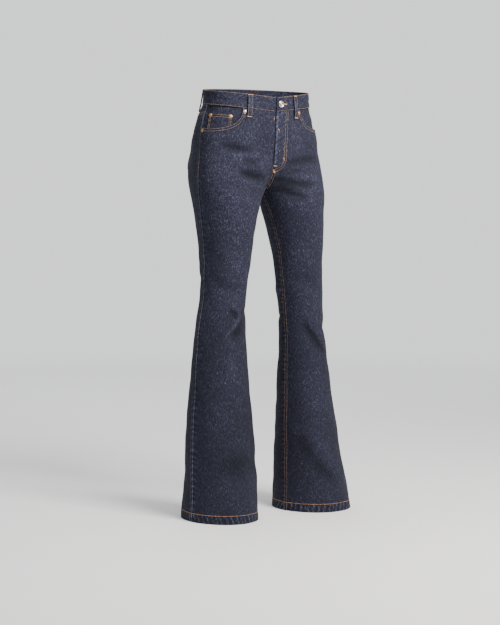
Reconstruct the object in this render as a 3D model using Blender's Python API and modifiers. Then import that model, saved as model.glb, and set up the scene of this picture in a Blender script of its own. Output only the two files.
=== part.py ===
"""Bootcut jeans in raw denim, hollow and filled out as when they are worn.

The wearer faces -Y, so the wearer's right is -X. Everything is in metres with +Z up, and the origin
is the middle of the waist, level with the waistband. Heights in the tables are measured up from the hems.

Every cloth piece is a wall on one shared form. A place on that form is a side (right or left), a
share around it and a height. The share is 0 on the side seam, 1 on the front's inner edge (centre
front, then inseam) and -1 on the back's inner edge (centre back, then inseam).
"""

from math import pi

import bmesh
import bpy
import numpy as np
from mathutils import Vector

RIGHT, LEFT = -1, 1
SIDE_NAMES = {RIGHT: "right", LEFT: "left"}

# Cloth and seams
DENIM = 0.0012
SEAM_GAP = 0.0003
SEAM_SHARE = 0.0008

# Lengths, measured up from the hems
INSEAM = 0.820
FRONT_TOP = 1.053
BACK_RISE_EXTRA = 0.027
WAIST_HEIGHT = 1.048
STRIDE = 0.012

# Waistband: its outer and inner face, measured out from the form
BAND_HEIGHT = 0.037
BAND_OUTER = 0.0008
BAND_INNER = -0.0018
BAND_UNDER_TURN = 0.22
BAND_STEPS = 52
BAND_ROWS = 4
UNDER_STEPS = 4

# Fly: the left front laps over the right one
LAP = 0.0016
LAP_START, LAP_FULL = 0.50, 0.78
FLY_BOTTOM = 0.8755
FLY_FADE = 0.030
SHIELD_SHARE = 0.80
SHIELD_BOTTOM = 0.885
SHIELD_GAP = 0.0004
SHIELD_GRID = (4, 8)

# Front pockets
MOUTH_SHARES = {RIGHT: 0.545, LEFT: 0.595}
MOUTH_DEPTH = 0.058
MOUTH_CORNER = 2.6
MOUTH_STEPS = 8
MOUTH_SAMPLES = 200
HIP_QUARTER = 0.250
FACING_PAST_MOUTH = 0.085
FACING_DEPTH = 0.092
FACING_RISE = 0.045
FACING_EDGE_SINK = 0.0019
FACING_SINK = 0.0037
FACING_SLOPE_HEIGHT = 0.016
FACING_SLOPE_SHARE = 0.08
FACING_GRID = (9, 7)
COIN_SHARES = (0.092, 0.428)
COIN_TOP = 0.018
COIN_BOTTOM = 0.084
COIN_SINK = 0.0019
COIN_GRID = (6, 5)

# Back yoke and back pockets
YOKE_SIDE = 0.026
YOKE_CENTRE = 0.066
YOKE_ROWS = 4
POCKET_CENTRE = 0.615
POCKET_TOP_WIDTH = 0.138
POCKET_LOW_WIDTH = 0.120
POCKET_BELOW_YOKE = 0.012
POCKET_SIDE = 0.112
POCKET_POINT = 0.022
POCKET_SEAT = 0.0007
POCKET_GRID = (11, 11)

# Hems, turned up twice inside each leg
HEM_HEIGHT = 0.021
HEM_THICKNESS = 0.0024
HEM_ROWS = 3

# Belt loops, placed by their turn round the waist
LOOP_WIDTH = 0.013
LOOP_THICKNESS = 0.0016
LOOP_BELOW = 0.022
LOOP_ARCH = 0.0034
LOOP_ARCH_POWER = 0.7
LOOP_SEAT_ROWS = 0.25
LOOP_GRID = (3, 11)
LOOP_TURNS = {
    "loop_front_right": 0.365,
    "loop_side_right": 1.25,
    "loop_back": 2.0,
    "loop_side_left": 2.75,
    "loop_front_left": 3.700,
}
WAIST_QUARTER = 0.192

# Waist button and its buttonhole
BUTTON_SHARE = 0.938
BUTTON_RADIUS = 0.0085
BUTTON_RISE = 0.0036
BUTTON_STEPS = 20
SHANK_RADIUS = 0.0025
SHANK_LENGTH = 2 * LAP
BUTTONHOLE_LENGTH = 0.011
BUTTONHOLE_WIDTH = 0.0056
BUTTONHOLE_STEPS = 16

# Rivets: one row for each, with its side, share, depth below the waist seam and lift off the form
RIVET_RADIUS = 0.0047
RIVET_RISE = 0.0014
RIVET_STEPS = 14
RIVET_COLUMNS = ("name", "side", "share", "below_waist_seam", "lift")
RIVETS = (
    ("rivet_mouth_right", RIGHT, MOUTH_SHARES[RIGHT] + 0.028, 0.009, 0.0),
    ("rivet_mouth_left", LEFT, MOUTH_SHARES[LEFT] + 0.028, 0.009, 0.0),
    ("rivet_side_right", RIGHT, 0.030, MOUTH_DEPTH + 0.007, 0.0),
    ("rivet_side_left", LEFT, 0.030, MOUTH_DEPTH + 0.007, 0.0),
    ("rivet_coin_outer", RIGHT, COIN_SHARES[0] + 0.028, COIN_TOP + 0.006, -COIN_SINK),
    ("rivet_coin_inner", RIGHT, COIN_SHARES[1] - 0.028, COIN_TOP + 0.006, -COIN_SINK),
)

# Grid of the fronts and backs: rows are at even heights up to PLAIN_TOP, then follow the upper edge
FRONT_STEPS = 14
BACK_STEPS = 12
PLAIN_TOP = 0.900
MORPH_START = 0.760
LEVEL_COLUMNS = ("from", "to", "steps")
LEVELS = (
    (0.000, 0.250, 7),
    (0.250, 0.400, 4),
    (0.400, 0.620, 11),
    (0.620, 0.770, 4),
    (0.770, 0.820, 4),
    (0.820, 0.850, 4),
    (0.850, PLAIN_TOP, 3),
    (PLAIN_TOP, PLAIN_TOP + 1.0, 5),
)

# The form, one row for each level: the middle of one leg or half, how far the cloth lies from it on
# four sides, how square the outline is (2 is an ellipse) and how far the seams twist round the leg.
SECTION_COLUMNS = (
    "height", "centre_out", "centre_back", "half_out", "half_in",
    "half_front", "half_back", "square", "twist",
)
SECTIONS = (
    (0.000, 0.146, -0.042, 0.094, 0.094, 0.111, 0.111, 2.00, 10.0),
    (0.150, 0.138, -0.035, 0.086, 0.086, 0.095, 0.095, 2.00, 9.0),
    (0.320, 0.131, -0.027, 0.071, 0.071, 0.077, 0.077, 2.00, 7.0),
    (0.460, 0.126, -0.024, 0.061, 0.061, 0.066, 0.066, 2.00, 5.0),
    (0.565, 0.117, -0.023, 0.058, 0.058, 0.062, 0.062, 2.00, 4.0),
    (0.665, 0.110, -0.021, 0.062, 0.064, 0.073, 0.077, 2.00, 2.5),
    (0.765, 0.103, -0.017, 0.0725, 0.079, 0.087, 0.098, 2.05, 0.8),
    (0.820, 0.096, -0.014, 0.082, 0.096, 0.088, 0.120, 2.10, 0.0),
    (0.850, 0.086, -0.013, 0.0915, 0.108, 0.083, 0.134, 2.15, 0.0),
    (0.885, 0.066, -0.010, 0.1085, 0.130, 0.079, 0.141, 2.20, 0.0),
    (0.920, 0.042, -0.006, 0.127, 0.155, 0.081, 0.138, 2.20, 0.0),
    (0.955, 0.018, -0.003, 0.149, 0.163, 0.087, 0.131, 2.20, 0.0),
    (0.990, 0.000, 0.000, 0.160, 0.160, 0.092, 0.117, 2.20, 0.0),
    (1.020, 0.000, 0.002, 0.151, 0.151, 0.096, 0.101, 2.15, 0.0),
    (1.036, 0.000, 0.003, 0.146, 0.146, 0.097, 0.094, 2.10, 0.0),
    (1.055, 0.000, 0.004, 0.144, 0.144, 0.098, 0.088, 2.10, 0.0),
    (1.090, 0.000, 0.005, 0.143, 0.143, 0.099, 0.083, 2.10, 0.0),
)

# How the legs differ, one row for each level: sway moves both legs to the wearer's left, and uneven
# is added to the right leg's width and taken from the left leg's.
POSE_COLUMNS = ("height", "sway", "uneven")
POSE = (
    (0.000, 0.0025, -0.0035),
    (0.130, 0.0035, 0.0010),
    (0.210, 0.0010, 0.0040),
    (0.370, 0.0000, 0.0050),
    (0.460, 0.0000, 0.0042),
    (0.560, 0.0010, 0.0000),
    (0.660, 0.0025, 0.0010),
    (0.800, 0.0000, 0.0000),
    (1.090, 0.0000, 0.0000),
)
OUTLINE_STEPS = 72

# The largest folds, one row each: the wearer's side, the share around and the height of both ends,
# how wide the fold is, and how far it stands out (or, below zero, sinks in). A fold runs on past its
# ends by FOLD_TAIL of its length as it fades out.
FOLD_COLUMNS = ("side", "share_1", "height_1", "share_2", "height_2", "width", "depth")
FOLDS = (
    (RIGHT, 0.92, 0.850, 0.45, 0.872, 0.014, -0.0045),
    (RIGHT, 0.75, 0.800, 0.30, 0.842, 0.016, -0.0030),
    (LEFT, 0.92, 0.850, 0.45, 0.868, 0.014, -0.0045),
    (LEFT, 0.75, 0.905, 0.30, 0.925, 0.014, -0.0030),
    (RIGHT, 0.85, 0.530, 0.45, 0.455, 0.016, -0.0050),
    (RIGHT, 0.15, 0.590, 0.60, 0.560, 0.016, -0.0040),
    (LEFT, 0.45, 0.500, 0.05, 0.430, 0.018, -0.0060),
    (LEFT, 0.80, 0.600, 0.45, 0.575, 0.016, -0.0040),
    (LEFT, 0.55, 0.240, 0.20, 0.090, 0.024, -0.0060),
    (RIGHT, 0.85, 0.150, 0.35, 0.110, 0.024, -0.0045),
    (RIGHT, -0.85, 0.780, -0.45, 0.800, 0.018, -0.0055),
    (LEFT, -0.85, 0.780, -0.45, 0.805, 0.018, -0.0055),
    (RIGHT, -0.70, 0.560, -0.25, 0.600, 0.018, -0.0050),
    (LEFT, -0.70, 0.570, -0.25, 0.595, 0.018, -0.0050),
)
FOLD_QUARTER = 0.200
FOLD_TAIL = 0.21

# Colour, roughness and metallic value of each finish
FINISHES = {
    "denim": ((0.034, 0.037, 0.058), 0.85, 0.0),
    "denim_inside": ((0.16, 0.17, 0.21), 0.90, 0.0),
    "silver_metal": ((0.72, 0.69, 0.64), 0.35, 1.0),
    "copper_metal": ((0.71, 0.55, 0.43), 0.40, 1.0),
}


def eased(t):
    """A soft step from 0 to 1."""
    t = np.clip(t, 0.0, 1.0)
    return t * t * (3.0 - 2.0 * t)


def smooth_column(knots, values, at):
    """A smooth curve through a table's column, read at any heights."""
    slopes = np.gradient(values, knots)
    row = np.clip(np.searchsorted(knots, at) - 1, 0, len(knots) - 2)
    span = knots[row + 1] - knots[row]
    t = np.clip((at - knots[row]) / span, 0.0, 1.0)
    rise = values[row + 1] - values[row]
    start, end = slopes[row] * span, slopes[row + 1] * span
    return values[row] + start * t + (3 * rise - 2 * start - end) * t**2 + (start + end - 2 * rise) * t**3


def read_table(names, rows, height):
    """A table's measures at each height, by column name, as columns of numbers."""
    table = np.array(rows)
    return {
        name: smooth_column(table[:, 0], table[:, i], height)[:, None]
        for i, name in enumerate(names)
    }


def section(side, height):
    """The form's measures for one side at each height."""
    form = read_table(SECTION_COLUMNS, SECTIONS, height)
    pose = read_table(POSE_COLUMNS, POSE, height)
    form["centre_out"] = np.maximum(form["centre_out"], 0.0) + side * pose["sway"]
    form["half_out"] = form["half_out"] - side * pose["uneven"]
    form["half_in"] = form["half_in"] - side * pose["uneven"]
    return form


def smooth_form(side, share, height):
    """Points of the form, before its folds and its lap."""
    side_column, above_legs = side[:, None], height[:, None] >= INSEAM
    form = section(side_column, height)
    inwards = np.clip((form["centre_out"] - SEAM_GAP / 2) / form["half_in"], 0.0, 1.0)
    inner_edge = np.where(above_legs, np.arccos(-(inwards ** (form["square"] / 2))), pi)
    direction = np.where(share[:, None] < 0.0, -1.0, 1.0)
    angle = np.linspace(0.0, 1.0, OUTLINE_STEPS + 1) * inner_edge * direction
    angle = angle - side_column * np.radians(form["twist"])
    power = 2.0 / form["square"]
    across = np.where(np.cos(angle) > 0.0, form["half_out"], form["half_in"])
    along = np.where(np.sin(angle) > 0.0, form["half_front"], form["half_back"])
    stride = side_column * STRIDE * np.clip(1.0 - form["height"] / INSEAM, 0.0, 1.0)
    out = form["centre_out"] + across * np.sign(np.cos(angle)) * np.abs(np.cos(angle)) ** power
    back = form["centre_back"] + stride - along * np.sign(np.sin(angle)) * np.abs(np.sin(angle)) ** power
    out = np.maximum(out, SEAM_GAP / 2)

    # Shares count real length along the cloth
    length = np.hypot(np.diff(out), np.diff(back)).cumsum(axis=1)
    length = np.concatenate([np.zeros((len(share), 1)), length], axis=1)
    wanted = np.abs(share) * length[:, -1]
    step = np.clip((length < wanted[:, None]).sum(axis=1), 1, OUTLINE_STEPS)
    each = np.arange(len(share))
    before, after = length[each, step - 1], length[each, step]
    part = (wanted - before) / np.maximum(after - before, 1e-9)
    out = out[each, step - 1] * (1.0 - part) + out[each, step] * part
    back = back[each, step - 1] * (1.0 - part) + back[each, step] * part
    return np.stack([side * out, back, height - WAIST_HEIGHT], axis=1)


def outward(side, share, height):
    """The direction straight out of the cloth at each place."""
    step_share, step_height = 0.02, 0.004
    low = np.clip(share - step_share, -1.0, 1.0)
    high = np.clip(share + step_share, -1.0, 1.0)
    around = smooth_form(side, high, height) - smooth_form(side, low, height)
    up = smooth_form(side, share, height + step_height) - smooth_form(side, share, height - step_height)
    normal = np.cross(up, around) * side[:, None]
    return normal / np.linalg.norm(normal, axis=1)[:, None]


def fold_relief(side, share, height):
    """How far the folds move the cloth outwards at each place."""
    relief = np.zeros(len(share))
    place = np.stack([share * FOLD_QUARTER, height], axis=1)
    for row in FOLDS:
        fold = dict(zip(FOLD_COLUMNS, row))
        start = np.array([fold["share_1"] * FOLD_QUARTER, fold["height_1"]])
        end = np.array([fold["share_2"] * FOLD_QUARTER, fold["height_2"]])
        along = (place - start) @ (end - start) / ((end - start) @ (end - start))
        nearest = start + np.clip(along, 0.0, 1.0)[:, None] * (end - start)
        off = np.linalg.norm(place - nearest, axis=1) / fold["width"]
        fade = np.sin(pi * np.interp(along, (-FOLD_TAIL, 1.0 + FOLD_TAIL), (0.0, 1.0)))
        relief += np.where(side == fold["side"], fold["depth"] * fade * np.exp(-(off**2)), 0.0)
    return relief


def fly_lap(side, share, height):
    """How far the lap of the fly lifts the left front, and sinks the right one."""
    near = eased((share - LAP_START) / (LAP_FULL - LAP_START))
    above = eased((height - FLY_BOTTOM) / FLY_FADE)
    return side * LAP * near * above


def cloth(side, share, height, proud=0.0):
    """Points on the cloth, or as far above it as proud says."""
    side, share, height, proud = np.broadcast_arrays(side, share, height, proud)
    lift = fold_relief(side, share, height) + fly_lap(side, share, height) + proud
    points = smooth_form(side, share, height) + outward(side, share, height) * lift[:, None]
    points[:, 0] = side * np.maximum(side * points[:, 0], SEAM_GAP / 2)
    return points


def around_waist(turn):
    """Side and share at a turn round the waist: 0 centre front, 1 right side, 2 back, 3 left side."""
    turn = np.where(turn < 0.0, turn + 4.0, turn)
    side = np.where(turn <= 2.0, RIGHT, LEFT)
    return side, np.where(side == RIGHT, 1.0 - turn, turn - 3.0)


def band_top(share):
    """Height of the waistband's upper edge: it rises from the front towards the back."""
    return FRONT_TOP + BACK_RISE_EXTRA * np.sin(pi * (1.0 - share) / 4.0)


def waist_seam(share):
    """Height of the seam under the waistband."""
    return band_top(share) - BAND_HEIGHT


def yoke_seam(share):
    """Height of the seam between a back and its yoke."""
    return waist_seam(share) - YOKE_SIDE - (YOKE_CENTRE - YOKE_SIDE) * np.abs(share)


def mouth_outline(side):
    """Shares and depths at even steps along a pocket mouth, from the side seam to the waist seam."""
    angle = np.linspace(0.0, pi / 2, MOUTH_SAMPLES)
    share = MOUTH_SHARES[side] * np.sin(angle) ** (2.0 / MOUTH_CORNER)
    depth = MOUTH_DEPTH * np.abs(np.cos(angle)) ** (2.0 / MOUTH_CORNER)
    length = np.hypot(np.diff(share) * HIP_QUARTER, np.diff(depth)).cumsum()
    length = np.concatenate([[0.0], length])
    wanted = np.linspace(0.0, length[-1], MOUTH_STEPS + 1)
    return np.interp(wanted, length, share), np.interp(wanted, length, depth)


def between_seams(share):
    """Shares from 0 to 1 drawn in a little at both ends, to leave the seams' gaps."""
    return SEAM_SHARE + (1.0 - 2.0 * SEAM_SHARE) * share


def panel_levels():
    """Levels of a front's or back's rows: heights up to PLAIN_TOP, then shares of the way up."""
    rows = []
    for row in LEVELS:
        level = dict(zip(LEVEL_COLUMNS, row))
        rows.append(np.linspace(level["from"], level["to"], level["steps"], endpoint=False))
    return np.concatenate(rows + [[PLAIN_TOP + 1.0]])


def level_height(level, top):
    """Height of a level on a panel whose upper edge is at top."""
    return np.where(level < PLAIN_TOP, level, PLAIN_TOP + (level - PLAIN_TOP) * (top - PLAIN_TOP))


def make_finishes():
    """One material for each finish."""
    made = {}
    for name, (colour, roughness, metallic) in FINISHES.items():
        made[name] = bpy.data.materials.new(name)
        made[name].use_nodes = True
        shader = made[name].node_tree.nodes["Principled BSDF"]
        shader.inputs["Base Color"].default_value = (*colour, 1.0)
        shader.inputs["Roughness"].default_value = roughness
        shader.inputs["Metallic"].default_value = metallic
    return made


def add_object(name, bm, finish, collection):
    """Keeps a mesh as one named piece."""
    mesh = bpy.data.meshes.new(name)
    bm.to_mesh(mesh)
    bm.free()
    mesh.materials.append(finish)
    piece = bpy.data.objects.new(name, mesh)
    collection.objects.link(piece)
    return piece


def add_wall(name, columns, rows, place, outer, inner, finish, collection):
    """A closed cloth wall from a grid. place(column, row, proud) gives its points."""
    bm = bmesh.new()
    bmesh.ops.create_grid(bm, x_segments=len(columns) - 1, y_segments=len(rows) - 1, size=1.0)
    corner = bm.verts.layers.int.new("corner")
    column, row = (values.ravel() for values in np.meshgrid(columns, rows))
    middle = place(column, row, (outer + inner) / 2)
    for i, vert in enumerate(bm.verts):
        vert[corner] = i
        vert.co = middle[i]
    bmesh.ops.remove_doubles(bm, verts=bm.verts, dist=SEAM_GAP / 6)
    outer_verts = set(bm.verts)
    bmesh.ops.solidify(bm, geom=bm.faces[:], thickness=outer - inner)
    outer_points = place(column, row, outer)
    inner_points = place(column, row, inner)
    for vert in bm.verts:
        points = outer_points if vert in outer_verts else inner_points
        vert.co = points[vert[corner]]
    bmesh.ops.recalc_face_normals(bm, faces=bm.faces)
    if bm.calc_volume(signed=True) < 0.0:
        bmesh.ops.reverse_faces(bm, faces=bm.faces)
    for face in bm.faces:
        face.smooth = True
    piece = add_object(name, bm, finish, collection)
    piece.data.set_sharp_from_angle(angle=pi / 4)
    return piece


def add_front(side, finish, collection):
    """A front panel, from the hem up to the pocket mouth and the waist seam."""
    mouth_share, mouth_depth = mouth_outline(side)
    waist_share = np.linspace(MOUTH_SHARES[side], 1.0, FRONT_STEPS - MOUTH_STEPS + 1)[1:]
    top_share = np.concatenate([mouth_share, waist_share])
    top = waist_seam(top_share) - SEAM_GAP / 2
    top[: MOUTH_STEPS + 1] -= mouth_depth

    def place(column, level, proud):
        column = column.astype(int)
        low = 0.5 * (level - MORPH_START) / (PLAIN_TOP - MORPH_START)
        blend = eased(np.where(level < PLAIN_TOP, low, 0.5 + 0.5 * (level - PLAIN_TOP)))
        share = column / FRONT_STEPS * (1.0 - blend) + top_share[column] * blend
        return cloth(side, between_seams(share), level_height(level, top[column]), proud)

    name = f"front_{SIDE_NAMES[side]}"
    add_wall(name, np.arange(FRONT_STEPS + 1), panel_levels(), place, 0.0, -DENIM, finish, collection)


def add_back(side, finish, collection):
    """A back panel, from the hem up to the yoke seam."""

    def place(column, level, proud):
        share = -between_seams(column)
        return cloth(side, share, level_height(level, yoke_seam(share) - SEAM_GAP / 2), proud)

    columns = np.linspace(0.0, 1.0, BACK_STEPS + 1)
    add_wall(f"back_{SIDE_NAMES[side]}", columns, panel_levels(), place, 0.0, -DENIM, finish, collection)


def add_yoke(side, finish, collection):
    """The shaped piece between a back and the waistband."""

    def place(column, row, proud):
        share = -between_seams(column)
        low = yoke_seam(share) + SEAM_GAP / 2
        high = waist_seam(share) - SEAM_GAP / 2
        return cloth(side, share, low + (high - low) * row, proud)

    columns = np.linspace(0.0, 1.0, BACK_STEPS + 1)
    rows = np.linspace(0.0, 1.0, YOKE_ROWS)
    add_wall(f"yoke_{SIDE_NAMES[side]}", columns, rows, place, 0.0, -DENIM, finish, collection)


def facing_sink(share, below):
    """How far a hip facing lies under the form: least at its seams, most behind the mouth."""
    slope = eased(below / FACING_SLOPE_HEIGHT) * eased(share / FACING_SLOPE_SHARE)
    return FACING_EDGE_SINK + (FACING_SINK - FACING_EDGE_SINK) * slope


def add_hip_facing(side, finish, collection):
    """The cloth that shows inside a front pocket's mouth, and reaches down behind the front."""
    inner_share = MOUTH_SHARES[side] + FACING_PAST_MOUTH

    def place(column, row, proud):
        share = SEAM_SHARE + column * inner_share
        bottom = FACING_DEPTH - FACING_RISE * column**2
        below = SEAM_GAP / 2 + (bottom - SEAM_GAP / 2) * (1.0 - row)
        return cloth(side, share, waist_seam(share) - below, proud - facing_sink(share, below))

    columns, rows = (np.linspace(0.0, 1.0, count) for count in FACING_GRID)
    add_wall(f"hip_facing_{SIDE_NAMES[side]}", columns, rows, place, 0.0, -DENIM, finish, collection)


def add_coin_pocket(finish, collection):
    """The small pocket on the right hip facing, which runs down behind the front."""

    def place(column, row, proud):
        below = COIN_BOTTOM + (COIN_TOP - COIN_BOTTOM) * row
        return cloth(RIGHT, column, waist_seam(column) - below, proud)

    columns = np.linspace(*COIN_SHARES, COIN_GRID[0])
    rows = np.linspace(0.0, 1.0, COIN_GRID[1])
    add_wall("coin_pocket", columns, rows, place, -COIN_SINK, -COIN_SINK - DENIM, finish, collection)


def add_back_pocket(side, finish, collection):
    """A patch pocket with a pointed lower edge, lying on the back."""

    def place(column, row, proud):
        width = POCKET_LOW_WIDTH + (POCKET_TOP_WIDTH - POCKET_LOW_WIDTH) * row
        share = -POCKET_CENTRE - column * width / 2 / HIP_QUARTER
        top = yoke_seam(share) - POCKET_BELOW_YOKE
        drop = POCKET_SIDE + POCKET_POINT * (1.0 - np.abs(column))
        return cloth(side, share, top - drop * (1.0 - row), proud)

    columns = np.linspace(-1.0, 1.0, POCKET_GRID[0])
    rows = np.linspace(0.0, 1.0, POCKET_GRID[1])
    name = f"back_pocket_{SIDE_NAMES[side]}"
    add_wall(name, columns, rows, place, POCKET_SEAT + DENIM, POCKET_SEAT, finish, collection)


def add_fly_shield(finish, collection):
    """The double strip behind the fly, under the left front."""

    def place(column, row, proud):
        share = SHIELD_SHARE + (1.0 - SHIELD_SHARE) * column
        top = waist_seam(share) - SEAM_GAP / 2
        return cloth(LEFT, share, SHIELD_BOTTOM + (top - SHIELD_BOTTOM) * row, proud)

    columns, rows = (np.linspace(0.0, 1.0, count) for count in SHIELD_GRID)
    outer = -DENIM - SHIELD_GAP
    add_wall("fly_shield", columns, rows, place, outer, outer - 2 * DENIM, finish, collection)


def add_waistband(finish, collection, cutters):
    """The waistband, from its hidden end under the left front round to its buttonhole end."""

    def place(turn, row, proud):
        side, share = around_waist(turn)
        low = waist_seam(share) + SEAM_GAP / 2
        under = np.where(turn < 0.0, -2 * LAP, 0.0)
        return cloth(side, share, low + (band_top(share) - low) * row, proud + under)

    under_turns = np.linspace(-BAND_UNDER_TURN, 0.0, UNDER_STEPS, endpoint=False)
    turns = np.concatenate([under_turns, np.linspace(0.0, 4.0, BAND_STEPS + 1)])
    rows = np.linspace(0.0, 1.0, BAND_ROWS)
    band = add_wall("waistband", turns, rows, place, BAND_OUTER, BAND_INNER, finish, collection)

    cut = band.modifiers.new("buttonhole", "BOOLEAN")
    cut.operation = "DIFFERENCE"
    cut.solver = "EXACT"
    cut.object = add_buttonhole_cutter(cutters)


def place_on_cloth(piece, side, share, height, proud):
    """Stands a piece on the cloth, with its own Z pointing straight out."""
    where = [np.array([value]) for value in (side, share, height)]
    piece.location = cloth(*where, proud)[0]
    normal = Vector(outward(*where)[0])
    piece.rotation_mode = "QUATERNION"
    piece.rotation_quaternion = normal.to_track_quat("Z", "Y")


def add_turned(name, profile, steps, finish, collection):
    """A turned piece from its profile, given as radius and height from the top down."""
    mesh = bpy.data.meshes.new(name)
    points = [(radius, 0.0, height) for radius, height in profile]
    mesh.from_pydata(points, [(i, i + 1) for i in range(len(points) - 1)], [])
    mesh.materials.append(finish)
    piece = bpy.data.objects.new(name, mesh)
    collection.objects.link(piece)
    screw = piece.modifiers.new("turn", "SCREW")
    screw.steps = screw.render_steps = steps
    screw.use_merge_vertices = True
    screw.merge_threshold = 0.00001
    screw.use_smooth_shade = True
    return piece


def button_height():
    """Height of the button: the middle of the waistband."""
    return waist_seam(BUTTON_SHARE) + BAND_HEIGHT / 2


def add_buttonhole_cutter(cutters):
    """A round-ended plug that opens the buttonhole in the upper end of the band alone."""
    bm = bmesh.new()
    depth = SHANK_LENGTH + SEAM_GAP
    radius = BUTTONHOLE_WIDTH / 2
    bmesh.ops.create_cone(
        bm, cap_ends=True, segments=BUTTONHOLE_STEPS, radius1=radius, radius2=radius, depth=2 * depth
    )
    bmesh.ops.scale(bm, vec=(BUTTONHOLE_LENGTH / BUTTONHOLE_WIDTH, 1.0, 1.0), verts=bm.verts)
    mesh = bpy.data.meshes.new("buttonhole_cutter")
    bm.to_mesh(mesh)
    bm.free()
    cutter = bpy.data.objects.new("buttonhole_cutter", mesh)
    cutters.objects.link(cutter)
    cutter.hide_render = True
    cutter.display_type = "WIRE"
    place_on_cloth(cutter, LEFT, BUTTON_SHARE, button_height(), BAND_OUTER + SEAM_GAP - SHANK_LENGTH + depth)
    return cutter


def add_waist_button(finish, collection):
    """A dished metal button whose shank passes the buttonhole to the band's under end."""
    profile = (
        (0.0, 0.80 * BUTTON_RISE),
        (0.50 * BUTTON_RADIUS, 0.80 * BUTTON_RISE),
        (0.66 * BUTTON_RADIUS, 0.97 * BUTTON_RISE),
        (0.84 * BUTTON_RADIUS, BUTTON_RISE),
        (0.97 * BUTTON_RADIUS, 0.78 * BUTTON_RISE),
        (BUTTON_RADIUS, 0.45 * BUTTON_RISE),
        (0.92 * BUTTON_RADIUS, 0.12 * BUTTON_RISE),
        (0.80 * BUTTON_RADIUS, 0.0),
        (SHANK_RADIUS, 0.0),
        (SHANK_RADIUS, -SHANK_LENGTH),
        (0.0, -SHANK_LENGTH),
    )
    button = add_turned("waist_button", profile, BUTTON_STEPS, finish, collection)
    place_on_cloth(button, LEFT, BUTTON_SHARE, button_height(), BAND_OUTER + SEAM_GAP)


def add_rivet(name, side, share, below, proud, finish, collection):
    """A capped rivet with a raised centre, at a depth below the waist seam."""
    profile = (
        (0.0, RIVET_RISE),
        (0.28 * RIVET_RADIUS, 0.95 * RIVET_RISE),
        (0.40 * RIVET_RADIUS, 0.62 * RIVET_RISE),
        (0.78 * RIVET_RADIUS, 0.56 * RIVET_RISE),
        (RIVET_RADIUS, 0.15 * RIVET_RISE),
        (RIVET_RADIUS, 0.0),
        (0.0, 0.0),
    )
    rivet = add_turned(name, profile, RIVET_STEPS, finish, collection)
    place_on_cloth(rivet, side, share, waist_seam(share) - below, proud + SEAM_GAP)


def add_loop(name, turn, finish, collection):
    """A belt loop, sewn down at both ends and standing clear of the waistband between them."""

    def place(column, row, proud):
        side, share = around_waist(turn + column * LOOP_WIDTH / 2 / WAIST_QUARTER)
        low = waist_seam(share) - LOOP_BELOW
        seat = SEAM_GAP + BAND_OUTER * eased(row / LOOP_SEAT_ROWS)
        arch = LOOP_ARCH * np.abs(np.sin(pi * row)) ** LOOP_ARCH_POWER
        return cloth(side, share, low + (band_top(share) - SEAM_GAP - low) * row, seat + arch + proud)

    columns = np.linspace(-1.0, 1.0, LOOP_GRID[0])
    rows = np.linspace(0.0, 1.0, LOOP_GRID[1])
    add_wall(name, columns, rows, place, LOOP_THICKNESS, 0.0, finish, collection)


def add_hem(side, finish, collection):
    """The turned-up hem inside a leg, a closed ring of doubled cloth."""

    def place(share, row, proud):
        return cloth(side, share, SEAM_GAP + (HEM_HEIGHT - SEAM_GAP) * row, proud)

    back_shares = np.linspace(-1.0, 0.0, BACK_STEPS, endpoint=False)
    shares = np.concatenate([back_shares, np.linspace(0.0, 1.0, FRONT_STEPS + 1)])
    rows = np.linspace(0.0, 1.0, HEM_ROWS)
    outer = -DENIM - SEAM_GAP
    name = f"hem_{SIDE_NAMES[side]}"
    add_wall(name, shares, rows, place, outer, outer - HEM_THICKNESS, finish, collection)


def main():
    for old in list(bpy.data.objects):
        bpy.data.objects.remove(old)
    jeans = bpy.data.collections.new("bootcut_jeans")
    cutters = bpy.data.collections.new("cutters")
    for collection in (jeans, cutters):
        bpy.context.scene.collection.children.link(collection)
    finishes = make_finishes()
    denim, inside = finishes["denim"], finishes["denim_inside"]

    for side in (RIGHT, LEFT):
        add_front(side, denim, jeans)
        add_back(side, denim, jeans)
        add_yoke(side, denim, jeans)
        add_hip_facing(side, denim, jeans)
        add_back_pocket(side, denim, jeans)
        add_hem(side, inside, jeans)
    add_coin_pocket(denim, jeans)
    add_fly_shield(denim, jeans)
    add_waistband(denim, jeans, cutters)
    for name, turn in LOOP_TURNS.items():
        add_loop(name, turn, denim, jeans)
    add_waist_button(finishes["silver_metal"], jeans)
    for row in RIVETS:
        rivet = dict(zip(RIVET_COLUMNS, row))
        add_rivet(
            rivet["name"], rivet["side"], rivet["share"], rivet["below_waist_seam"], rivet["lift"],
            finishes["copper_metal"], jeans,
        )


if __name__ == "__main__":
    main()
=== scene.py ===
# %% [markdown]
# # Bootcut jeans in dark denim
#
# Jeans are flat pieces of cloth sewn into tubes: two fronts, two backs, two yokes, a waistband and
# the pockets. Here they stand filled out, as on a wearer, and hollow.
#
# The part arrives as plain solids, the frame. This lesson dresses each solid: it lays a fine sheet of
# denim on the same form, adds creases and sewing, and gives every surface its finish. The frame is
# loaded first, because everything else takes its place from it.

# %% Load the frame
from math import cos, pi, radians, sin

import bmesh
import bpy
import numpy as np
from mathutils import Matrix, Vector


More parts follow.
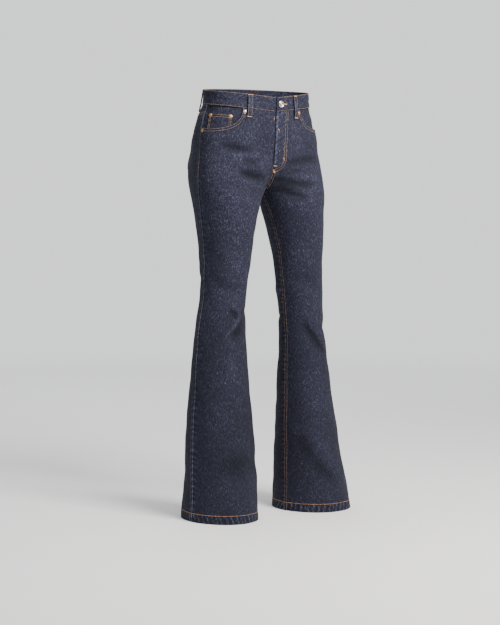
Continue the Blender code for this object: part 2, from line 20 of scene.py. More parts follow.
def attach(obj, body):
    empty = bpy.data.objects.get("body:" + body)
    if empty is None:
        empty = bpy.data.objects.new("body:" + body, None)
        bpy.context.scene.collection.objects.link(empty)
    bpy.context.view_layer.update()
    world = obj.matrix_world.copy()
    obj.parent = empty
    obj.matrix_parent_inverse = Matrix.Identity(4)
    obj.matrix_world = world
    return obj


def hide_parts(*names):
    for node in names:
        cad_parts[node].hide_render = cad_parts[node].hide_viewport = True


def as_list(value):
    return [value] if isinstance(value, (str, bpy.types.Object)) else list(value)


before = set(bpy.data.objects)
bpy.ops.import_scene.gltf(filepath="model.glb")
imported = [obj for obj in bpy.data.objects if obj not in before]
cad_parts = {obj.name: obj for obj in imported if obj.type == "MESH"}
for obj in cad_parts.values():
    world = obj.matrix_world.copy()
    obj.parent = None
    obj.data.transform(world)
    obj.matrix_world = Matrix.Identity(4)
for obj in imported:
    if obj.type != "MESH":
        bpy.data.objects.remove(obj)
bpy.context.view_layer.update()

BODY = "root"

# %% [markdown]
# ## The camera
#
# A camera is easiest to place in the words of a photographer: how far round the subject it stands, how
# far away, how high, and how far it is tipped. Here it stands in front of the wearer's right hip, at
# almost the height of the waist, with a long lens that flattens the view. The lens is worked out from
# the focal length in pixels, because a picture of 625 pixels fills a sensor of 36 mm. A slight shift
# keeps the legs' sides upright, as a photographer's shift lens does.

# %% Camera
HEM_LEVEL = -1.048
IMAGE_HEIGHT = 625
SENSOR_WIDTH = 36.0
FOCAL_PIXELS = 1901.0
CAMERA_AZIMUTH = radians(32.03)
CAMERA_DISTANCE = 4.855
CAMERA_HEIGHT = 0.8595
CAMERA_TURN = radians(-0.196)
CAMERA_PITCH = radians(3.246)
CAMERA_SHIFT = -30 / IMAGE_HEIGHT

camera = bpy.data.objects.new("camera", bpy.data.cameras.new("camera"))
bpy.context.scene.collection.objects.link(camera)
bpy.context.scene.camera = camera
camera.data.sensor_width = SENSOR_WIDTH
camera.data.lens = SENSOR_WIDTH * FOCAL_PIXELS / IMAGE_HEIGHT
camera.data.shift_y = CAMERA_SHIFT
camera.location = (
    -CAMERA_DISTANCE * sin(CAMERA_AZIMUTH),
    -CAMERA_DISTANCE * cos(CAMERA_AZIMUTH),
    HEM_LEVEL + CAMERA_HEIGHT,
)
camera.rotation_euler = (pi / 2 - CAMERA_PITCH, 0.0, -(CAMERA_AZIMUTH + CAMERA_TURN))
print("lens", round(camera.data.lens, 1), "mm")

# %% [markdown]
# ## The studio
#
# A pale floor and large soft lights show cloth well: small lights would give hard shadows, and the
# folds would look carved. One big panel stands in front, above the head and a little to the wearer's
# left, because the hips and thighs are brightest on the side that faces it. A weak one fills the
# other side, one stands behind, so that the seat is lit too, and one hangs above.
#
# The floor fades out into the world's pale colour far from the jeans, so no horizon shows. A photo
# studio does this with a curved paper sweep, but a sweep would hide the jeans from behind. The world
# looks bright to the camera and gives less light than that, as a lit wall far off would.

# %% Helpers for colours, nodes and lights
def linear(hex_colour):
    """A screen colour such as "8090a0" in the linear values that Blender's nodes use."""
    values = [int(hex_colour[i:i + 2], 16) / 255 for i in (0, 2, 4)]
    return tuple(((v + 0.055) / 1.055) ** 2.4 if v > 0.04045 else v / 12.92 for v in values) + (1.0,)


def add_node(tree, kind, inputs=None, **settings):
    """Adds a node, gives it its settings, and sets each input or links it to a socket."""
    node = tree.nodes.new(kind)
    for name, value in settings.items():
        setattr(node, name, value)
    for name, value in (inputs or {}).items():
        if isinstance(value, bpy.types.NodeSocket):
            tree.links.new(value, node.inputs[name])
        else:
            node.inputs[name].default_value = value
    return node


def new_material(name):
    """An empty material with its output, ready for nodes."""
    material = bpy.data.materials.new(name)
    material.use_nodes = True
    material.node_tree.nodes.clear()
    return material, material.node_tree


def add_area_light(name, place, aim, size, power, colour):
    """A square soft light that faces a point."""
    data = bpy.data.lights.new(name, "AREA")
    data.size = size
    data.energy = power
    data.color = linear(colour)[:3]
    light = bpy.data.objects.new(name, data)
    light.location = place
    light.rotation_euler = (Vector(aim) - Vector(place)).to_track_quat("-Z", "Y").to_euler()
    bpy.context.scene.collection.objects.link(light)
    return light


print("a screen's middle grey gives", round(linear("808080")[0], 3), "of full light")

# %% Floor
FLOOR_SIZE = 40.0
FADE_START, FADE_END = 1.1, 4.6

backdrop_paint, tree = new_material("matt_backdrop_paint")
shader = add_node(tree, "ShaderNodeBsdfPrincipled", {"Base Color": linear("e2e2e2"), "Roughness": 0.9})
place = add_node(tree, "ShaderNodeTexCoord").outputs["Object"]
reach = add_node(tree, "ShaderNodeVectorMath", {0: place}, operation="LENGTH").outputs["Value"]
fade = add_node(
    tree, "ShaderNodeMapRange", {"Value": reach, "From Min": FADE_START, "From Max": FADE_END},
    interpolation_type="SMOOTHSTEP",
).outputs["Result"]
nothing = add_node(tree, "ShaderNodeBsdfTransparent").outputs["BSDF"]
faded = add_node(tree, "ShaderNodeMixShader", {0: fade, 1: shader.outputs["BSDF"], 2: nothing})
add_node(tree, "ShaderNodeOutputMaterial", {"Surface": faded.outputs["Shader"]})

bm = bmesh.new()
bmesh.ops.create_grid(bm, x_segments=1, y_segments=1, size=FLOOR_SIZE / 2)
bmesh.ops.translate(bm, vec=(0.0, 0.0, HEM_LEVEL), verts=bm.verts)
floor_mesh = bpy.data.meshes.new("floor")
bm.to_mesh(floor_mesh)
bm.free()
floor_mesh.materials.append(backdrop_paint)
floor = bpy.data.objects.new("floor", floor_mesh)
bpy.context.scene.collection.objects.link(floor)
print("the floor fades out between", FADE_START, "and", FADE_END, "m")

# %% World and lights
SKY_SEEN = 1.25
SKY_LIGHT = 0.36

world = bpy.data.worlds.new("studio")
bpy.context.scene.world = world
world.use_nodes = True
world.node_tree.nodes.clear()
seen = add_node(world.node_tree, "ShaderNodeLightPath").outputs["Is Camera Ray"]
strength = add_node(
    world.node_tree, "ShaderNodeMapRange", {"Value": seen, "To Min": SKY_LIGHT, "To Max": SKY_SEEN},
).outputs["Result"]
background = add_node(
    world.node_tree, "ShaderNodeBackground", {"Color": (0.98, 0.99, 1.0, 1.0), "Strength": strength},
)
add_node(world.node_tree, "ShaderNodeOutputWorld", {"Surface": background.outputs["Background"]})

MIDDLE = (0.0, 0.0, -0.4)
add_area_light("key", (0.3, -1.9, 1.3), MIDDLE, 1.1, 142.0, "fffaf5")
add_area_light("fill", (-3.4, -2.2, 0.6), MIDDLE, 2.5, 3.0, "f4f6ff")
add_area_light("back", (1.0, 2.8, 0.9), MIDDLE, 2.5, 50.0, "f8f9ff")
add_area_light("top", (0.0, -0.2, 3.4), MIDDLE, 3.2, 125.0, "ffffff")
print(len(bpy.data.lights), "lights")

# %% [markdown]
# ## The form of the jeans
#
# Every cloth piece lies on one shared form, so it is described once. A place on it is a side (the
# wearer's right or left), a share around and a height above the hems. The share is 0 on the side
# seam, 1 on the front's inner edge and -1 on the back's inner edge. At each height a short table
# gives the outline of one leg, or of half the hips, as a soft oval, and a smooth curve joins the rows.
#
# One could instead sculpt the legs, or loft circles by hand. A table in real sizes is easier to
# correct: to widen the knee, change one number. The solids leave 0.3 mm between pieces. The sheets
# here meet almost edge to edge, because a sewn seam lets no light through.

# %% Tables of the form
RIGHT, LEFT = -1, 1
SIDE_NAMES = {RIGHT: "right", LEFT: "left"}
DENIM = 0.0012
SEAM_GAP = 0.00006
LAYER_GAP = 0.0003
SEAM_SHARE = 0.0001
MERGE_DISTANCE = 0.00004
INSEAM = 0.820
FRONT_TOP = 1.053
BACK_RISE_EXTRA = 0.027
WAIST_HEIGHT = -HEM_LEVEL
STRIDE = 0.012
BAND_HEIGHT = 0.037
LAP = 0.0016
LAP_START, LAP_FULL = 0.50, 0.78
FLY_BOTTOM = 0.8755
FLY_FADE = 0.030
OUTLINE_STEPS = 72

# The middle of one leg or half, how far the cloth lies from it on four sides, how square the
# outline is (2 is an ellipse) and how far the seams twist round the leg.
SECTION_COLUMNS = (
    "height", "centre_out", "centre_back", "half_out", "half_in",
    "half_front", "half_back", "square", "twist",
)
SECTIONS = (
    (0.000, 0.146, -0.042, 0.094, 0.094, 0.111, 0.111, 2.00, 10.0),
    (0.150, 0.138, -0.035, 0.086, 0.086, 0.095, 0.095, 2.00, 9.0),
    (0.320, 0.131, -0.027, 0.071, 0.071, 0.077, 0.077, 2.00, 7.0),
    (0.460, 0.126, -0.024, 0.061, 0.061, 0.066, 0.066, 2.00, 5.0),
    (0.565, 0.117, -0.023, 0.058, 0.058, 0.062, 0.062, 2.00, 4.0),
    (0.665, 0.110, -0.021, 0.062, 0.064, 0.073, 0.077, 2.00, 2.5),
    (0.765, 0.103, -0.017, 0.0725, 0.079, 0.087, 0.098, 2.05, 0.8),
    (0.820, 0.096, -0.014, 0.082, 0.096, 0.088, 0.120, 2.10, 0.0),
    (0.850, 0.086, -0.013, 0.0915, 0.108, 0.083, 0.134, 2.15, 0.0),
    (0.885, 0.066, -0.010, 0.1085, 0.130, 0.079, 0.141, 2.20, 0.0),
    (0.920, 0.042, -0.006, 0.127, 0.155, 0.081, 0.138, 2.20, 0.0),
    (0.955, 0.018, -0.003, 0.149, 0.163, 0.087, 0.131, 2.20, 0.0),
    (0.990, 0.000, 0.000, 0.160, 0.160, 0.092, 0.117, 2.20, 0.0),
    (1.020, 0.000, 0.002, 0.151, 0.151, 0.096, 0.101, 2.15, 0.0),
    (1.036, 0.000, 0.003, 0.146, 0.146, 0.097, 0.094, 2.10, 0.0),
    (1.055, 0.000, 0.004, 0.144, 0.144, 0.098, 0.088, 2.10, 0.0),
    (1.090, 0.000, 0.005, 0.143, 0.143, 0.099, 0.083, 2.10, 0.0),
)

# How the legs differ: sway moves both to the wearer's left, and uneven is added to the right leg's
# width and taken from the left leg's.
POSE_COLUMNS = ("height", "sway", "uneven")
POSE = (
    (0.000, 0.0025, -0.0035),
    (0.130, 0.0035, 0.0010),
    (0.210, 0.0010, 0.0040),
    (0.370, 0.0000, 0.0050),
    (0.460, 0.0000, 0.0042),
    (0.560, 0.0010, 0.0000),
    (0.660, 0.0025, 0.0010),
    (0.800, 0.0000, 0.0000),
    (1.090, 0.0000, 0.0000),
)
print(len(SECTIONS), "levels, from the hems to", SECTIONS[-1][0], "m")


# %% Reading the tables
def eased(t):
    """A soft step from 0 to 1."""
    t = np.clip(t, 0.0, 1.0)
    return t * t * (3.0 - 2.0 * t)


def smooth_column(knots, values, at):
    """A smooth curve through a table's column, read at any heights."""
    slopes = np.gradient(values, knots)
    row = np.clip(np.searchsorted(knots, at) - 1, 0, len(knots) - 2)
    span = knots[row + 1] - knots[row]
    t = np.clip((at - knots[row]) / span, 0.0, 1.0)
    rise = values[row + 1] - values[row]
    start, end = slopes[row] * span, slopes[row + 1] * span
    return values[row] + start * t + (3 * rise - 2 * start - end) * t**2 + (start + end - 2 * rise) * t**3


def read_table(names, rows, height):
    """A table's measures at each height, by column name, as columns of numbers."""
    table = np.array(rows)
    return {
        name: smooth_column(table[:, 0], table[:, i], height)[:, None]
        for i, name in enumerate(names)
    }


def section(side, height):
    """The form's measures for one side at each height."""
    form = read_table(SECTION_COLUMNS, SECTIONS, height)
    pose = read_table(POSE_COLUMNS, POSE, height)
    form["centre_out"] = np.maximum(form["centre_out"], 0.0) + side * pose["sway"]
    form["half_out"] = form["half_out"] - side * pose["uneven"]
    form["half_in"] = form["half_in"] - side * pose["uneven"]
    return form


knee = section(RIGHT, np.array([0.5]))
print("the right knee reaches", round(float(knee["half_front"][0, 0]), 3), "m forwards of its middle")


# %% Points of the form
def smooth_form(side, share, height):
    """Points of the form, and the length of cloth there from the side seam to the inner edge."""
    side_column, above_legs = side[:, None], height[:, None] >= INSEAM
    form = section(side_column, height)
    inwards = np.clip((form["centre_out"] - SEAM_GAP / 2) / form["half_in"], 0.0, 1.0)
    inner_edge = np.where(above_legs, np.arccos(-(inwards ** (form["square"] / 2))), pi)
    direction = np.where(share[:, None] < 0.0, -1.0, 1.0)
    angle = np.linspace(0.0, 1.0, OUTLINE_STEPS + 1) * inner_edge * direction
    angle = angle - side_column * np.radians(form["twist"])
    power = 2.0 / form["square"]
    across = np.where(np.cos(angle) > 0.0, form["half_out"], form["half_in"])
    along = np.where(np.sin(angle) > 0.0, form["half_front"], form["half_back"])
    stride = side_column * STRIDE * np.clip(1.0 - form["height"] / INSEAM, 0.0, 1.0)
    out = form["centre_out"] + across * np.sign(np.cos(angle)) * np.abs(np.cos(angle)) ** power
    back = form["centre_back"] + stride - along * np.sign(np.sin(angle)) * np.abs(np.sin(angle)) ** power
    out = np.maximum(out, SEAM_GAP / 2)

    length = np.hypot(np.diff(out), np.diff(back)).cumsum(axis=1)
    length = np.concatenate([np.zeros((len(share), 1)), length], axis=1)
    wanted = np.abs(share) * length[:, -1]
    step = np.clip((length < wanted[:, None]).sum(axis=1), 1, OUTLINE_STEPS)
    each = np.arange(len(share))
    before, after = length[each, step - 1], length[each, step]
    part = (wanted - before) / np.maximum(after - before, 1e-9)
    out = out[each, step - 1] * (1.0 - part) + out[each, step] * part
    back = back[each, step - 1] * (1.0 - part) + back[each, step] * part
    return np.stack([side * out, back, height - WAIST_HEIGHT], axis=1), length[:, -1]


def outward(side, share, height):
    """The direction straight out of the cloth at each place."""
    step_share, step_height = 0.02, 0.004
    low = np.clip(share - step_share, -1.0, 1.0)
    high = np.clip(share + step_share, -1.0, 1.0)
    around = smooth_form(side, high, height)[0] - smooth_form(side, low, height)[0]
    above = smooth_form(side, share, height + step_height)[0]
    below = smooth_form(side, share, height - step_height)[0]
    normal = np.cross(above - below, around) * side[:, None]
    return normal / np.linalg.norm(normal, axis=1)[:, None]


girth = sum(smooth_form(np.array([RIGHT]), np.array([s]), np.array([0.01]))[1][0] for s in (1.0, -1.0))
print("hem girth", round(girth, 3), "m")


# %% Round the waist
def around_waist(turn):
    """Side and share at a turn round the waist: 0 centre front, 1 right side, 2 back, 3 left side."""
    turn = np.where(turn < 0.0, turn + 4.0, turn)
    side = np.where(turn <= 2.0, RIGHT, LEFT)
    return side, np.where(side == RIGHT, 1.0 - turn, turn - 3.0)


def band_top(share):
    """Height of the waistband's upper edge: it rises from the front towards the back."""
    return FRONT_TOP + BACK_RISE_EXTRA * np.sin(pi * (1.0 - share) / 4.0)


def waist_seam(share):
    """Height of the seam under the waistband."""
    return band_top(share) - BAND_HEIGHT


print("the waist seam rises", round(float(waist_seam(-1.0) - waist_seam(1.0)) * 1000), "mm to the back")

# %% [markdown]
# ## Creases and roping
#
# Cloth on a body is never smooth. Stiff new denim breaks into a few soft troughs where a leg bends,
# at the crotch, the knee and the thigh. Each is one row of a table: two ends, a width and a depth.
# The depth fades along the trough and falls away to its sides as a bell curve, which is how a soft
# crease is shaped. The same depth gives each trough painted shade and each ridge a painted highlight.
# Cloth simulation would also give creases, but not these ones in these places.
#
# Beside its seams denim ropes: the sewing draws one layer up more than the other, so it ripples. That
# is a wave along the seam whose pitch wanders. The same wave says where the dye is rubbed paler, on
# the ridges, and where painted shade darkens the troughs. Below the knees the cloth is darkened with
# painted shade.

# %% Tables of creases
FOLD_COLUMNS = ("side", "share_1", "height_1", "share_2", "height_2", "width", "depth")
FOLDS = (
    (RIGHT, 0.92, 0.850, 0.45, 0.872, 0.014, -0.0045),
    (RIGHT, 0.75, 0.800, 0.30, 0.842, 0.016, -0.0030),
    (LEFT, 0.92, 0.850, 0.45, 0.868, 0.014, -0.0045),
    (LEFT, 0.75, 0.905, 0.30, 0.925, 0.014, -0.0030),
    (RIGHT, 0.85, 0.530, 0.45, 0.455, 0.016, -0.0050),
    (RIGHT, 0.15, 0.590, 0.60, 0.560, 0.016, -0.0040),
    (LEFT, 0.45, 0.500, 0.05, 0.430, 0.018, -0.0060),
    (LEFT, 0.80, 0.600, 0.45, 0.575, 0.016, -0.0040),
    (LEFT, 0.55, 0.240, 0.20, 0.090, 0.024, -0.0060),
    (RIGHT, 0.85, 0.150, 0.35, 0.110, 0.024, -0.0045),
    (RIGHT, -0.85, 0.780, -0.45, 0.800, 0.018, -0.0055),
    (LEFT, -0.85, 0.780, -0.45, 0.805, 0.018, -0.0055),
    (RIGHT, -0.70, 0.560, -0.25, 0.600, 0.018, -0.0050),
    (LEFT, -0.70, 0.570, -0.25, 0.595, 0.018, -0.0050),
)

# Finer creases, the same way. A depth above zero is a ridge, and gets a painted highlight; a trough gets
# painted shade.
CREASES = (
    (RIGHT, 0.840, 0.850, 0.535, 0.864, 0.009, -0.0056),
    (RIGHT, 0.775, 0.888, 0.580, 0.894, 0.009, -0.0024),
    (RIGHT, 0.670, 0.918, 0.340, 0.930, 0.010, -0.0038),
    (RIGHT, 0.720, 0.903, 0.420, 0.911, 0.009, 0.0012),
    (RIGHT, 0.980, 0.834, 0.700, 0.838, 0.008, -0.0014),
    (LEFT, 0.960, 0.844, 0.520, 0.832, 0.010, -0.0056),
    (LEFT, 0.865, 0.828, 0.560, 0.802, 0.009, -0.0048),
    (LEFT, 0.830, 0.888, 0.340, 0.902, 0.010, -0.0044),
    (LEFT, 0.970, 0.870, 0.580, 0.870, 0.007, -0.0018),
    (RIGHT, 0.415, 0.522, 0.520, 0.504, 0.009, -0.0040),
    (RIGHT, 0.445, 0.534, 0.550, 0.516, 0.005, 0.0022),
    (RIGHT, 0.565, 0.504, 0.415, 0.468, 0.005, 0.0034),
    (RIGHT, 0.415, 0.468, 0.370, 0.456, 0.005, 0.0016),
    (RIGHT, 0.655, 0.486, 0.475, 0.456, 0.012, -0.0040),
    (RIGHT, 0.415, 0.420, 0.415, 0.366, 0.006, 0.0010),
    (RIGHT, 0.415, 0.366, 0.595, 0.318, 0.007, 0.0008),
    (RIGHT, 0.535, 0.162, 0.265, 0.126, 0.020, -0.0022),
    (LEFT, 0.685, 0.474, 0.430, 0.408, 0.011, -0.0052),
    (LEFT, 0.595, 0.468, 0.415, 0.420, 0.007, 0.0016),
    (LEFT, 0.820, 0.192, 0.730, 0.144, 0.016, -0.0028),
    (LEFT, 0.730, 0.144, 0.565, 0.078, 0.014, -0.0032),
    (LEFT, 0.730, 0.210, 0.460, 0.096, 0.014, 0.0009),
    (RIGHT, -0.200, 0.600, -0.020, 0.588, 0.007, -0.0030),
    (LEFT, -0.950, 0.484, -0.600, 0.504, 0.009, -0.0026),
    (LEFT, -0.950, 0.558, -0.600, 0.570, 0.012, 0.0018),
    (RIGHT, -0.900, 0.815, -0.550, 0.832, 0.010, -0.0024),
    (LEFT, -0.920, 0.818, -0.600, 0.838, 0.010, -0.0024),
    (RIGHT, -0.800, 0.745, -0.400, 0.765, 0.012, -0.0018),
    (LEFT, -0.750, 0.750, -0.350, 0.762, 0.012, -0.0018),
    (RIGHT, -0.800, 0.520, -0.300, 0.545, 0.010, -0.0026),
    (LEFT, -0.550, 0.530, -0.200, 0.552, 0.010, -0.0026),
    (RIGHT, -0.600, 0.605, -0.200, 0.640, 0.011, -0.0020),
    (LEFT, -0.650, 0.615, -0.250, 0.640, 0.011, -0.0020),
    (RIGHT, -0.550, 0.250, -0.300, 0.110, 0.022, -0.0030),
    (LEFT, -0.650, 0.230, -0.350, 0.090, 0.022, -0.0034),
)
print(len(FOLDS), "folds and", len(CREASES), "finer creases")

# %% Relief of the folds
FOLD_QUARTER = 0.200
FOLD_TAIL = 0.21
WAVE_DEPTH = 0.0005


def bell(distance, centre, width):
    """1 at a centre, falling away on both sides as a bell curve."""
    return np.exp(-(((distance - centre) / width) ** 2))


def fold_relief(side, share, height, folds):
    """How far a table's folds move the cloth outwards at each place."""
    relief = np.zeros(len(share))
    place = np.stack([share * FOLD_QUARTER, height], axis=1)
    for row in folds:
        fold = dict(zip(FOLD_COLUMNS, row))
        start = np.array([fold["share_1"] * FOLD_QUARTER, fold["height_1"]])
        end = np.array([fold["share_2"] * FOLD_QUARTER, fold["height_2"]])
        along = (place - start) @ (end - start) / ((end - start) @ (end - start))
        nearest = start + np.clip(along, 0.0, 1.0)[:, None] * (end - start)
        off = bell(np.linalg.norm(place - nearest, axis=1), 0.0, fold["width"])
        fade = np.sin(pi * np.interp(along, (-FOLD_TAIL, 1.0 + FOLD_TAIL), (0.0, 1.0)))
        relief += np.where(side == fold["side"], fold["depth"] * fade * off, 0.0)
    return relief


def soft_waves(share, height, quarter):
    """Long shallow waves, so that no stretch of cloth is smooth. The rates have no common measure."""
    across = share * quarter
    return WAVE_DEPTH * (
        np.sin(across * 61.0 + 2.1 * np.sin(height * 17.0))
        + np.sin(height * 53.0 + 1.7 * np.sin(across * 31.0) + 1.0)
        + 0.6 * np.sin((height + across) * 97.0 + 0.5)
    )


at_knee = fold_relief(np.array([RIGHT]), np.array([0.6]), np.array([0.49]), FOLDS)[0]
print("the right knee's fold is", round(-float(at_knee) * 1000, 1), "mm deep")

# %% Helpers for the seams
BAND_EDGE = 0.002
FLY_WIDTH = 0.034


def fly_lap(side, share, height):
    """How far the lap of the fly lifts the left front, and sinks the right one."""
    near = eased((share - LAP_START) / (LAP_FULL - LAP_START))
    above = eased((height - FLY_BOTTOM) / FLY_FADE)
    return side * LAP * near * above


def fly_edge(height):
    """Distance from the centre front to the fly's outer stitching: it curves in at the bottom."""
    curve = np.clip((height - FLY_BOTTOM) / FLY_WIDTH, 0.0, 1.0)
    return FLY_WIDTH * np.sqrt(np.clip(1.0 - (1.0 - curve) ** 2, 0.0, 1.0))


def rope(along, pitch, shift):
    """An uneven wave from 0 to 1 along a seam."""
    turn = 2.0 * pi * along / pitch
    wander = 1.0 * np.sin(turn / 5.3 + shift) + 0.6 * np.sin(turn / 2.7 + 2.3 * shift)
    return 0.5 + 0.5 * np.sin(turn + wander)


def plateau(distance, width):
    """1 within a width and 0 beyond it, with a soft edge."""
    return 1.0 - eased((distance - width) / BAND_EDGE)


print("the fly is", round(float(fly_edge(0.95)) * 1000), "mm wide")

# %% Ripples along the seams
# How far a seam's ripples reach, how deep they are, and for each seam their pitch along it, their
# slant away from it, how much the ridges are rubbed paler, and how much painted shade darkens the troughs.
ROPE_REACH = 0.011
ROPE_DEPTH = 0.0009
SIDE_PITCH, SIDE_SLANT, SIDE_RUB, SIDE_TROUGH_SHADE = 0.0145, 0.25, 1.2, 0.25
INSEAM_PITCH, INSEAM_SLANT, INSEAM_RUB, INSEAM_TROUGH_SHADE = 0.0120, 0.20, 0.7, 0.25
HEM_PITCH, HEM_SLANT, HEM_RUB, HEM_TROUGH_SHADE = 0.0125, 0.45, 1.3, 0.38
FLY_PITCH, FLY_SLANT, FLY_RUB, FLY_TROUGH_SHADE = 0.0115, -0.55, 0.45, 0.15
HIP_ROPE = 0.35
ROPE_START, ROPE_GROWTH = 0.42, 0.25
SEAM_BAND = 0.009
SIDE_BAND = 0.011
# A painted highlight along the edge of the seam's inner layer on the back, painted shade at the seam on the
# front, and a painted highlight on the back's lip beside the seam.
BAND_LINE_WIDTH, BAND_LINE_HIGHLIGHT = 0.0018, 0.5
SEAM_SHADE_WIDTH, SEAM_SHADE = 0.0022, 0.8
LIP_PLACE, LIP_WIDTH, LIP_HIGHLIGHT = 0.001, 0.0016, 0.3
HEM_HEIGHT = 0.021
HEM_RISE = 0.0005
FLY_RISE = 0.0004
FLY_SWELL = 0.030
FLY_FOLD = 0.003
FLY_FOLD_RISE = 0.0005


def side_ropes(side, share, height, from_side):
    """Ripples beside the side seam, stronger low on the leg, rubbed paler on their ridges with painted
    shade in their troughs and at the seam, and painted highlights beside its layers.
    """
    front, back = share > 0.0, share < 0.0
    grown = HIP_ROPE + (1.0 - HIP_ROPE) * eased((ROPE_START - height) / ROPE_GROWTH)
    waves = rope(height + SIDE_SLANT * from_side, SIDE_PITCH, 1.0 + 0.6 * side)
    near = bell(from_side, 0.0, ROPE_REACH) * grown
    # Ridges rubbed paler, with painted shade in the troughs.
    wear_and_painted_light = near * (SIDE_RUB * waves - SIDE_TROUGH_SHADE)
    # Painted highlights along the layers' edge and the lip, and painted shade at the seam.
    wear_and_painted_light = wear_and_painted_light + BAND_LINE_HIGHLIGHT * back * bell(from_side, SIDE_BAND, BAND_LINE_WIDTH) * grown
    wear_and_painted_light = wear_and_painted_light - SEAM_SHADE * front * bell(from_side, 0.0, SEAM_SHADE_WIDTH)
    wear_and_painted_light = wear_and_painted_light + LIP_HIGHLIGHT * back * bell(from_side, LIP_PLACE, LIP_WIDTH)
    return ROPE_DEPTH * near * (waves - 0.5), wear_and_painted_light


def inseam_ropes(side, height, from_inner):
    """Ripples beside the inseam, half as deep, rubbed paler on their ridges with painted shade in their
    troughs.
    """
    waves = rope(height + INSEAM_SLANT * from_inner, INSEAM_PITCH, 2.0 + side)
    near = bell(from_inner, 0.0, ROPE_REACH)
    return 0.5 * ROPE_DEPTH * near * (waves - 0.5), near * (INSEAM_RUB * waves - INSEAM_TROUGH_SHADE)


def hem_ropes(side, share, height, quarter):
    """Slanting ripples round the hem, which is also thicker, rubbed paler on their ridges with painted
    shade in their troughs.
    """
    in_hem = eased((HEM_HEIGHT + 0.001 - height) / 0.003)
    waves = rope(share * quarter + HEM_SLANT * height, HEM_PITCH, 0.7 * side)
    swell = np.sin(pi * np.clip(height / HEM_HEIGHT, 0.0, 1.0))
    lift = in_hem * (HEM_RISE + 0.8 * ROPE_DEPTH * (waves - 0.5) * swell)
    return lift, in_hem * (HEM_RUB * waves**3 - HEM_TROUGH_SHADE)


def fly_ropes(side, share, height, from_inner):
    """Slanting ripples on the fly, rubbed paler on their ridges with painted shade in their troughs, and
    the raised fold at its edge with a painted highlight along it.
    """
    on_left_front = (side == LEFT) * (share > 0.0)
    on_fly = on_left_front * eased((height - FLY_BOTTOM) / 0.004) * plateau(from_inner, fly_edge(height))
    on_fold = on_left_front * eased((height - FLY_BOTTOM) / 0.01) * bell(from_inner, FLY_FOLD, FLY_FOLD)
    waves = rope(height + FLY_SLANT * from_inner, FLY_PITCH, 0.4)
    swell = np.sin(pi * np.clip(from_inner / FLY_SWELL, 0.0, 1.0))
    lift = on_fly * (FLY_RISE + 0.6 * ROPE_DEPTH * (waves - 0.5) * swell) + FLY_FOLD_RISE * on_fold
    # The fold at the fly's edge gets a painted highlight.
    return lift, on_fly * (FLY_RUB * waves - FLY_TROUGH_SHADE) + 0.5 * on_fold


print(round(1 / SIDE_PITCH), "ripples to the metre on a side seam,", round(1 / HEM_PITCH), "on a hem")

# %% Relief of the cloth
BAND_RISE = 0.0006
INSEAM_BAND = 0.013
LEG_FADE = 0.01
# Painted shade in the troughs of folds and creases and painted highlight on their ridges, per metre of
# depth.
PAINTED_LIGHT_BY_FOLD = 30.0
PAINTED_LIGHT_BY_CREASE = 170.0
# Painted shade below the knees, stronger on the right leg.
PAINTED_SHADE_BELOW_KNEE = {RIGHT: 0.28, LEFT: 0.19}
KNEE_TOP, KNEE_FADE = 0.60, 0.24
FLAT_SIDE, FLAT_PANEL = 0.6, 0.15


def seam_relief(side, share, height, quarter):
    """How far the seams' inner layers lift the cloth, how far its dye is rubbed paler there, and the
    painted shade and highlights beside them.
    """
    front, back = share > 0.0, share < 0.0
    from_side, from_inner = np.abs(share) * quarter, (1.0 - np.abs(share)) * quarter
    leg = eased((INSEAM - height) / LEG_FADE)
    below_band = height < waist_seam(share)
    side_band = back * below_band * plateau(from_side, SIDE_BAND)
    leg_band = front * leg * plateau(from_inner, INSEAM_BAND)
    centre_band = (side == LEFT) * (1.0 - leg) * plateau(from_inner, SEAM_BAND)
    centre_band = centre_band * np.where(front, height < FLY_BOTTOM, below_band)

    lift, wear_and_painted_light = BAND_RISE * (side_band + leg_band + centre_band), 0.0
    for (ripple, wear_and_shade), within in (
        (side_ropes(side, share, height, from_side), below_band),
        (inseam_ropes(side, height, from_inner), leg),
        (hem_ropes(side, share, height, quarter), 1.0),
        (fly_ropes(side, share, height, from_inner), below_band),
    ):
        lift = lift + within * ripple
        wear_and_painted_light = wear_and_painted_light + within * wear_and_shade
    return lift, wear_and_painted_light


def surface(side, share, height, lift=0.0):
    """Points on the finished cloth, how rubbed it is there with its painted shade and highlights, and each
    point's place in the flat cut.
    """
    side, share, height, lift = (np.ravel(a) for a in np.broadcast_arrays(side, share, height, lift))
    points, quarter = smooth_form(side, share, height)
    rise, wear_and_painted_light = seam_relief(side, share, height, quarter)
    folds = fold_relief(side, share, height, FOLDS)
    creases = fold_relief(side, share, height, CREASES)
    # Painted shade in the troughs of folds and creases, painted highlight on their ridges, and painted
    # shade below the knees.
    wear_and_painted_light = wear_and_painted_light + PAINTED_LIGHT_BY_FOLD * folds + PAINTED_LIGHT_BY_CREASE * creases
    knee_shade = np.where(side == RIGHT, PAINTED_SHADE_BELOW_KNEE[RIGHT], PAINTED_SHADE_BELOW_KNEE[LEFT])
    wear_and_painted_light = wear_and_painted_light - knee_shade * eased((KNEE_TOP - height) / KNEE_FADE)

    rise = rise + folds + creases + soft_waves(share, height, quarter)
    rise = rise + fly_lap(side, share, height) + lift
    move = outward(side, share, height) * rise[:, None]
    from_middle = (1.0 - np.abs(share)) * quarter
    move[:, 0] *= 1.0 - (height > INSEAM) * bell(from_middle, 0.0, SEAM_BAND)
    points = points + move
    points[:, 0] = side * np.maximum(side * points[:, 0], SEAM_GAP / 2)
    half, panel = side * FLAT_SIDE, np.sign(share)
    flat = np.stack([(share - 0.5 * panel) * quarter + half + panel * FLAT_PANEL, height], axis=1)
    return points, wear_and_painted_light, flat


test = surface(np.array([LEFT]), np.array([0.5]), np.array([0.46]))[0][0]
print("middle of the left knee", [round(float(v), 3) for v in test])

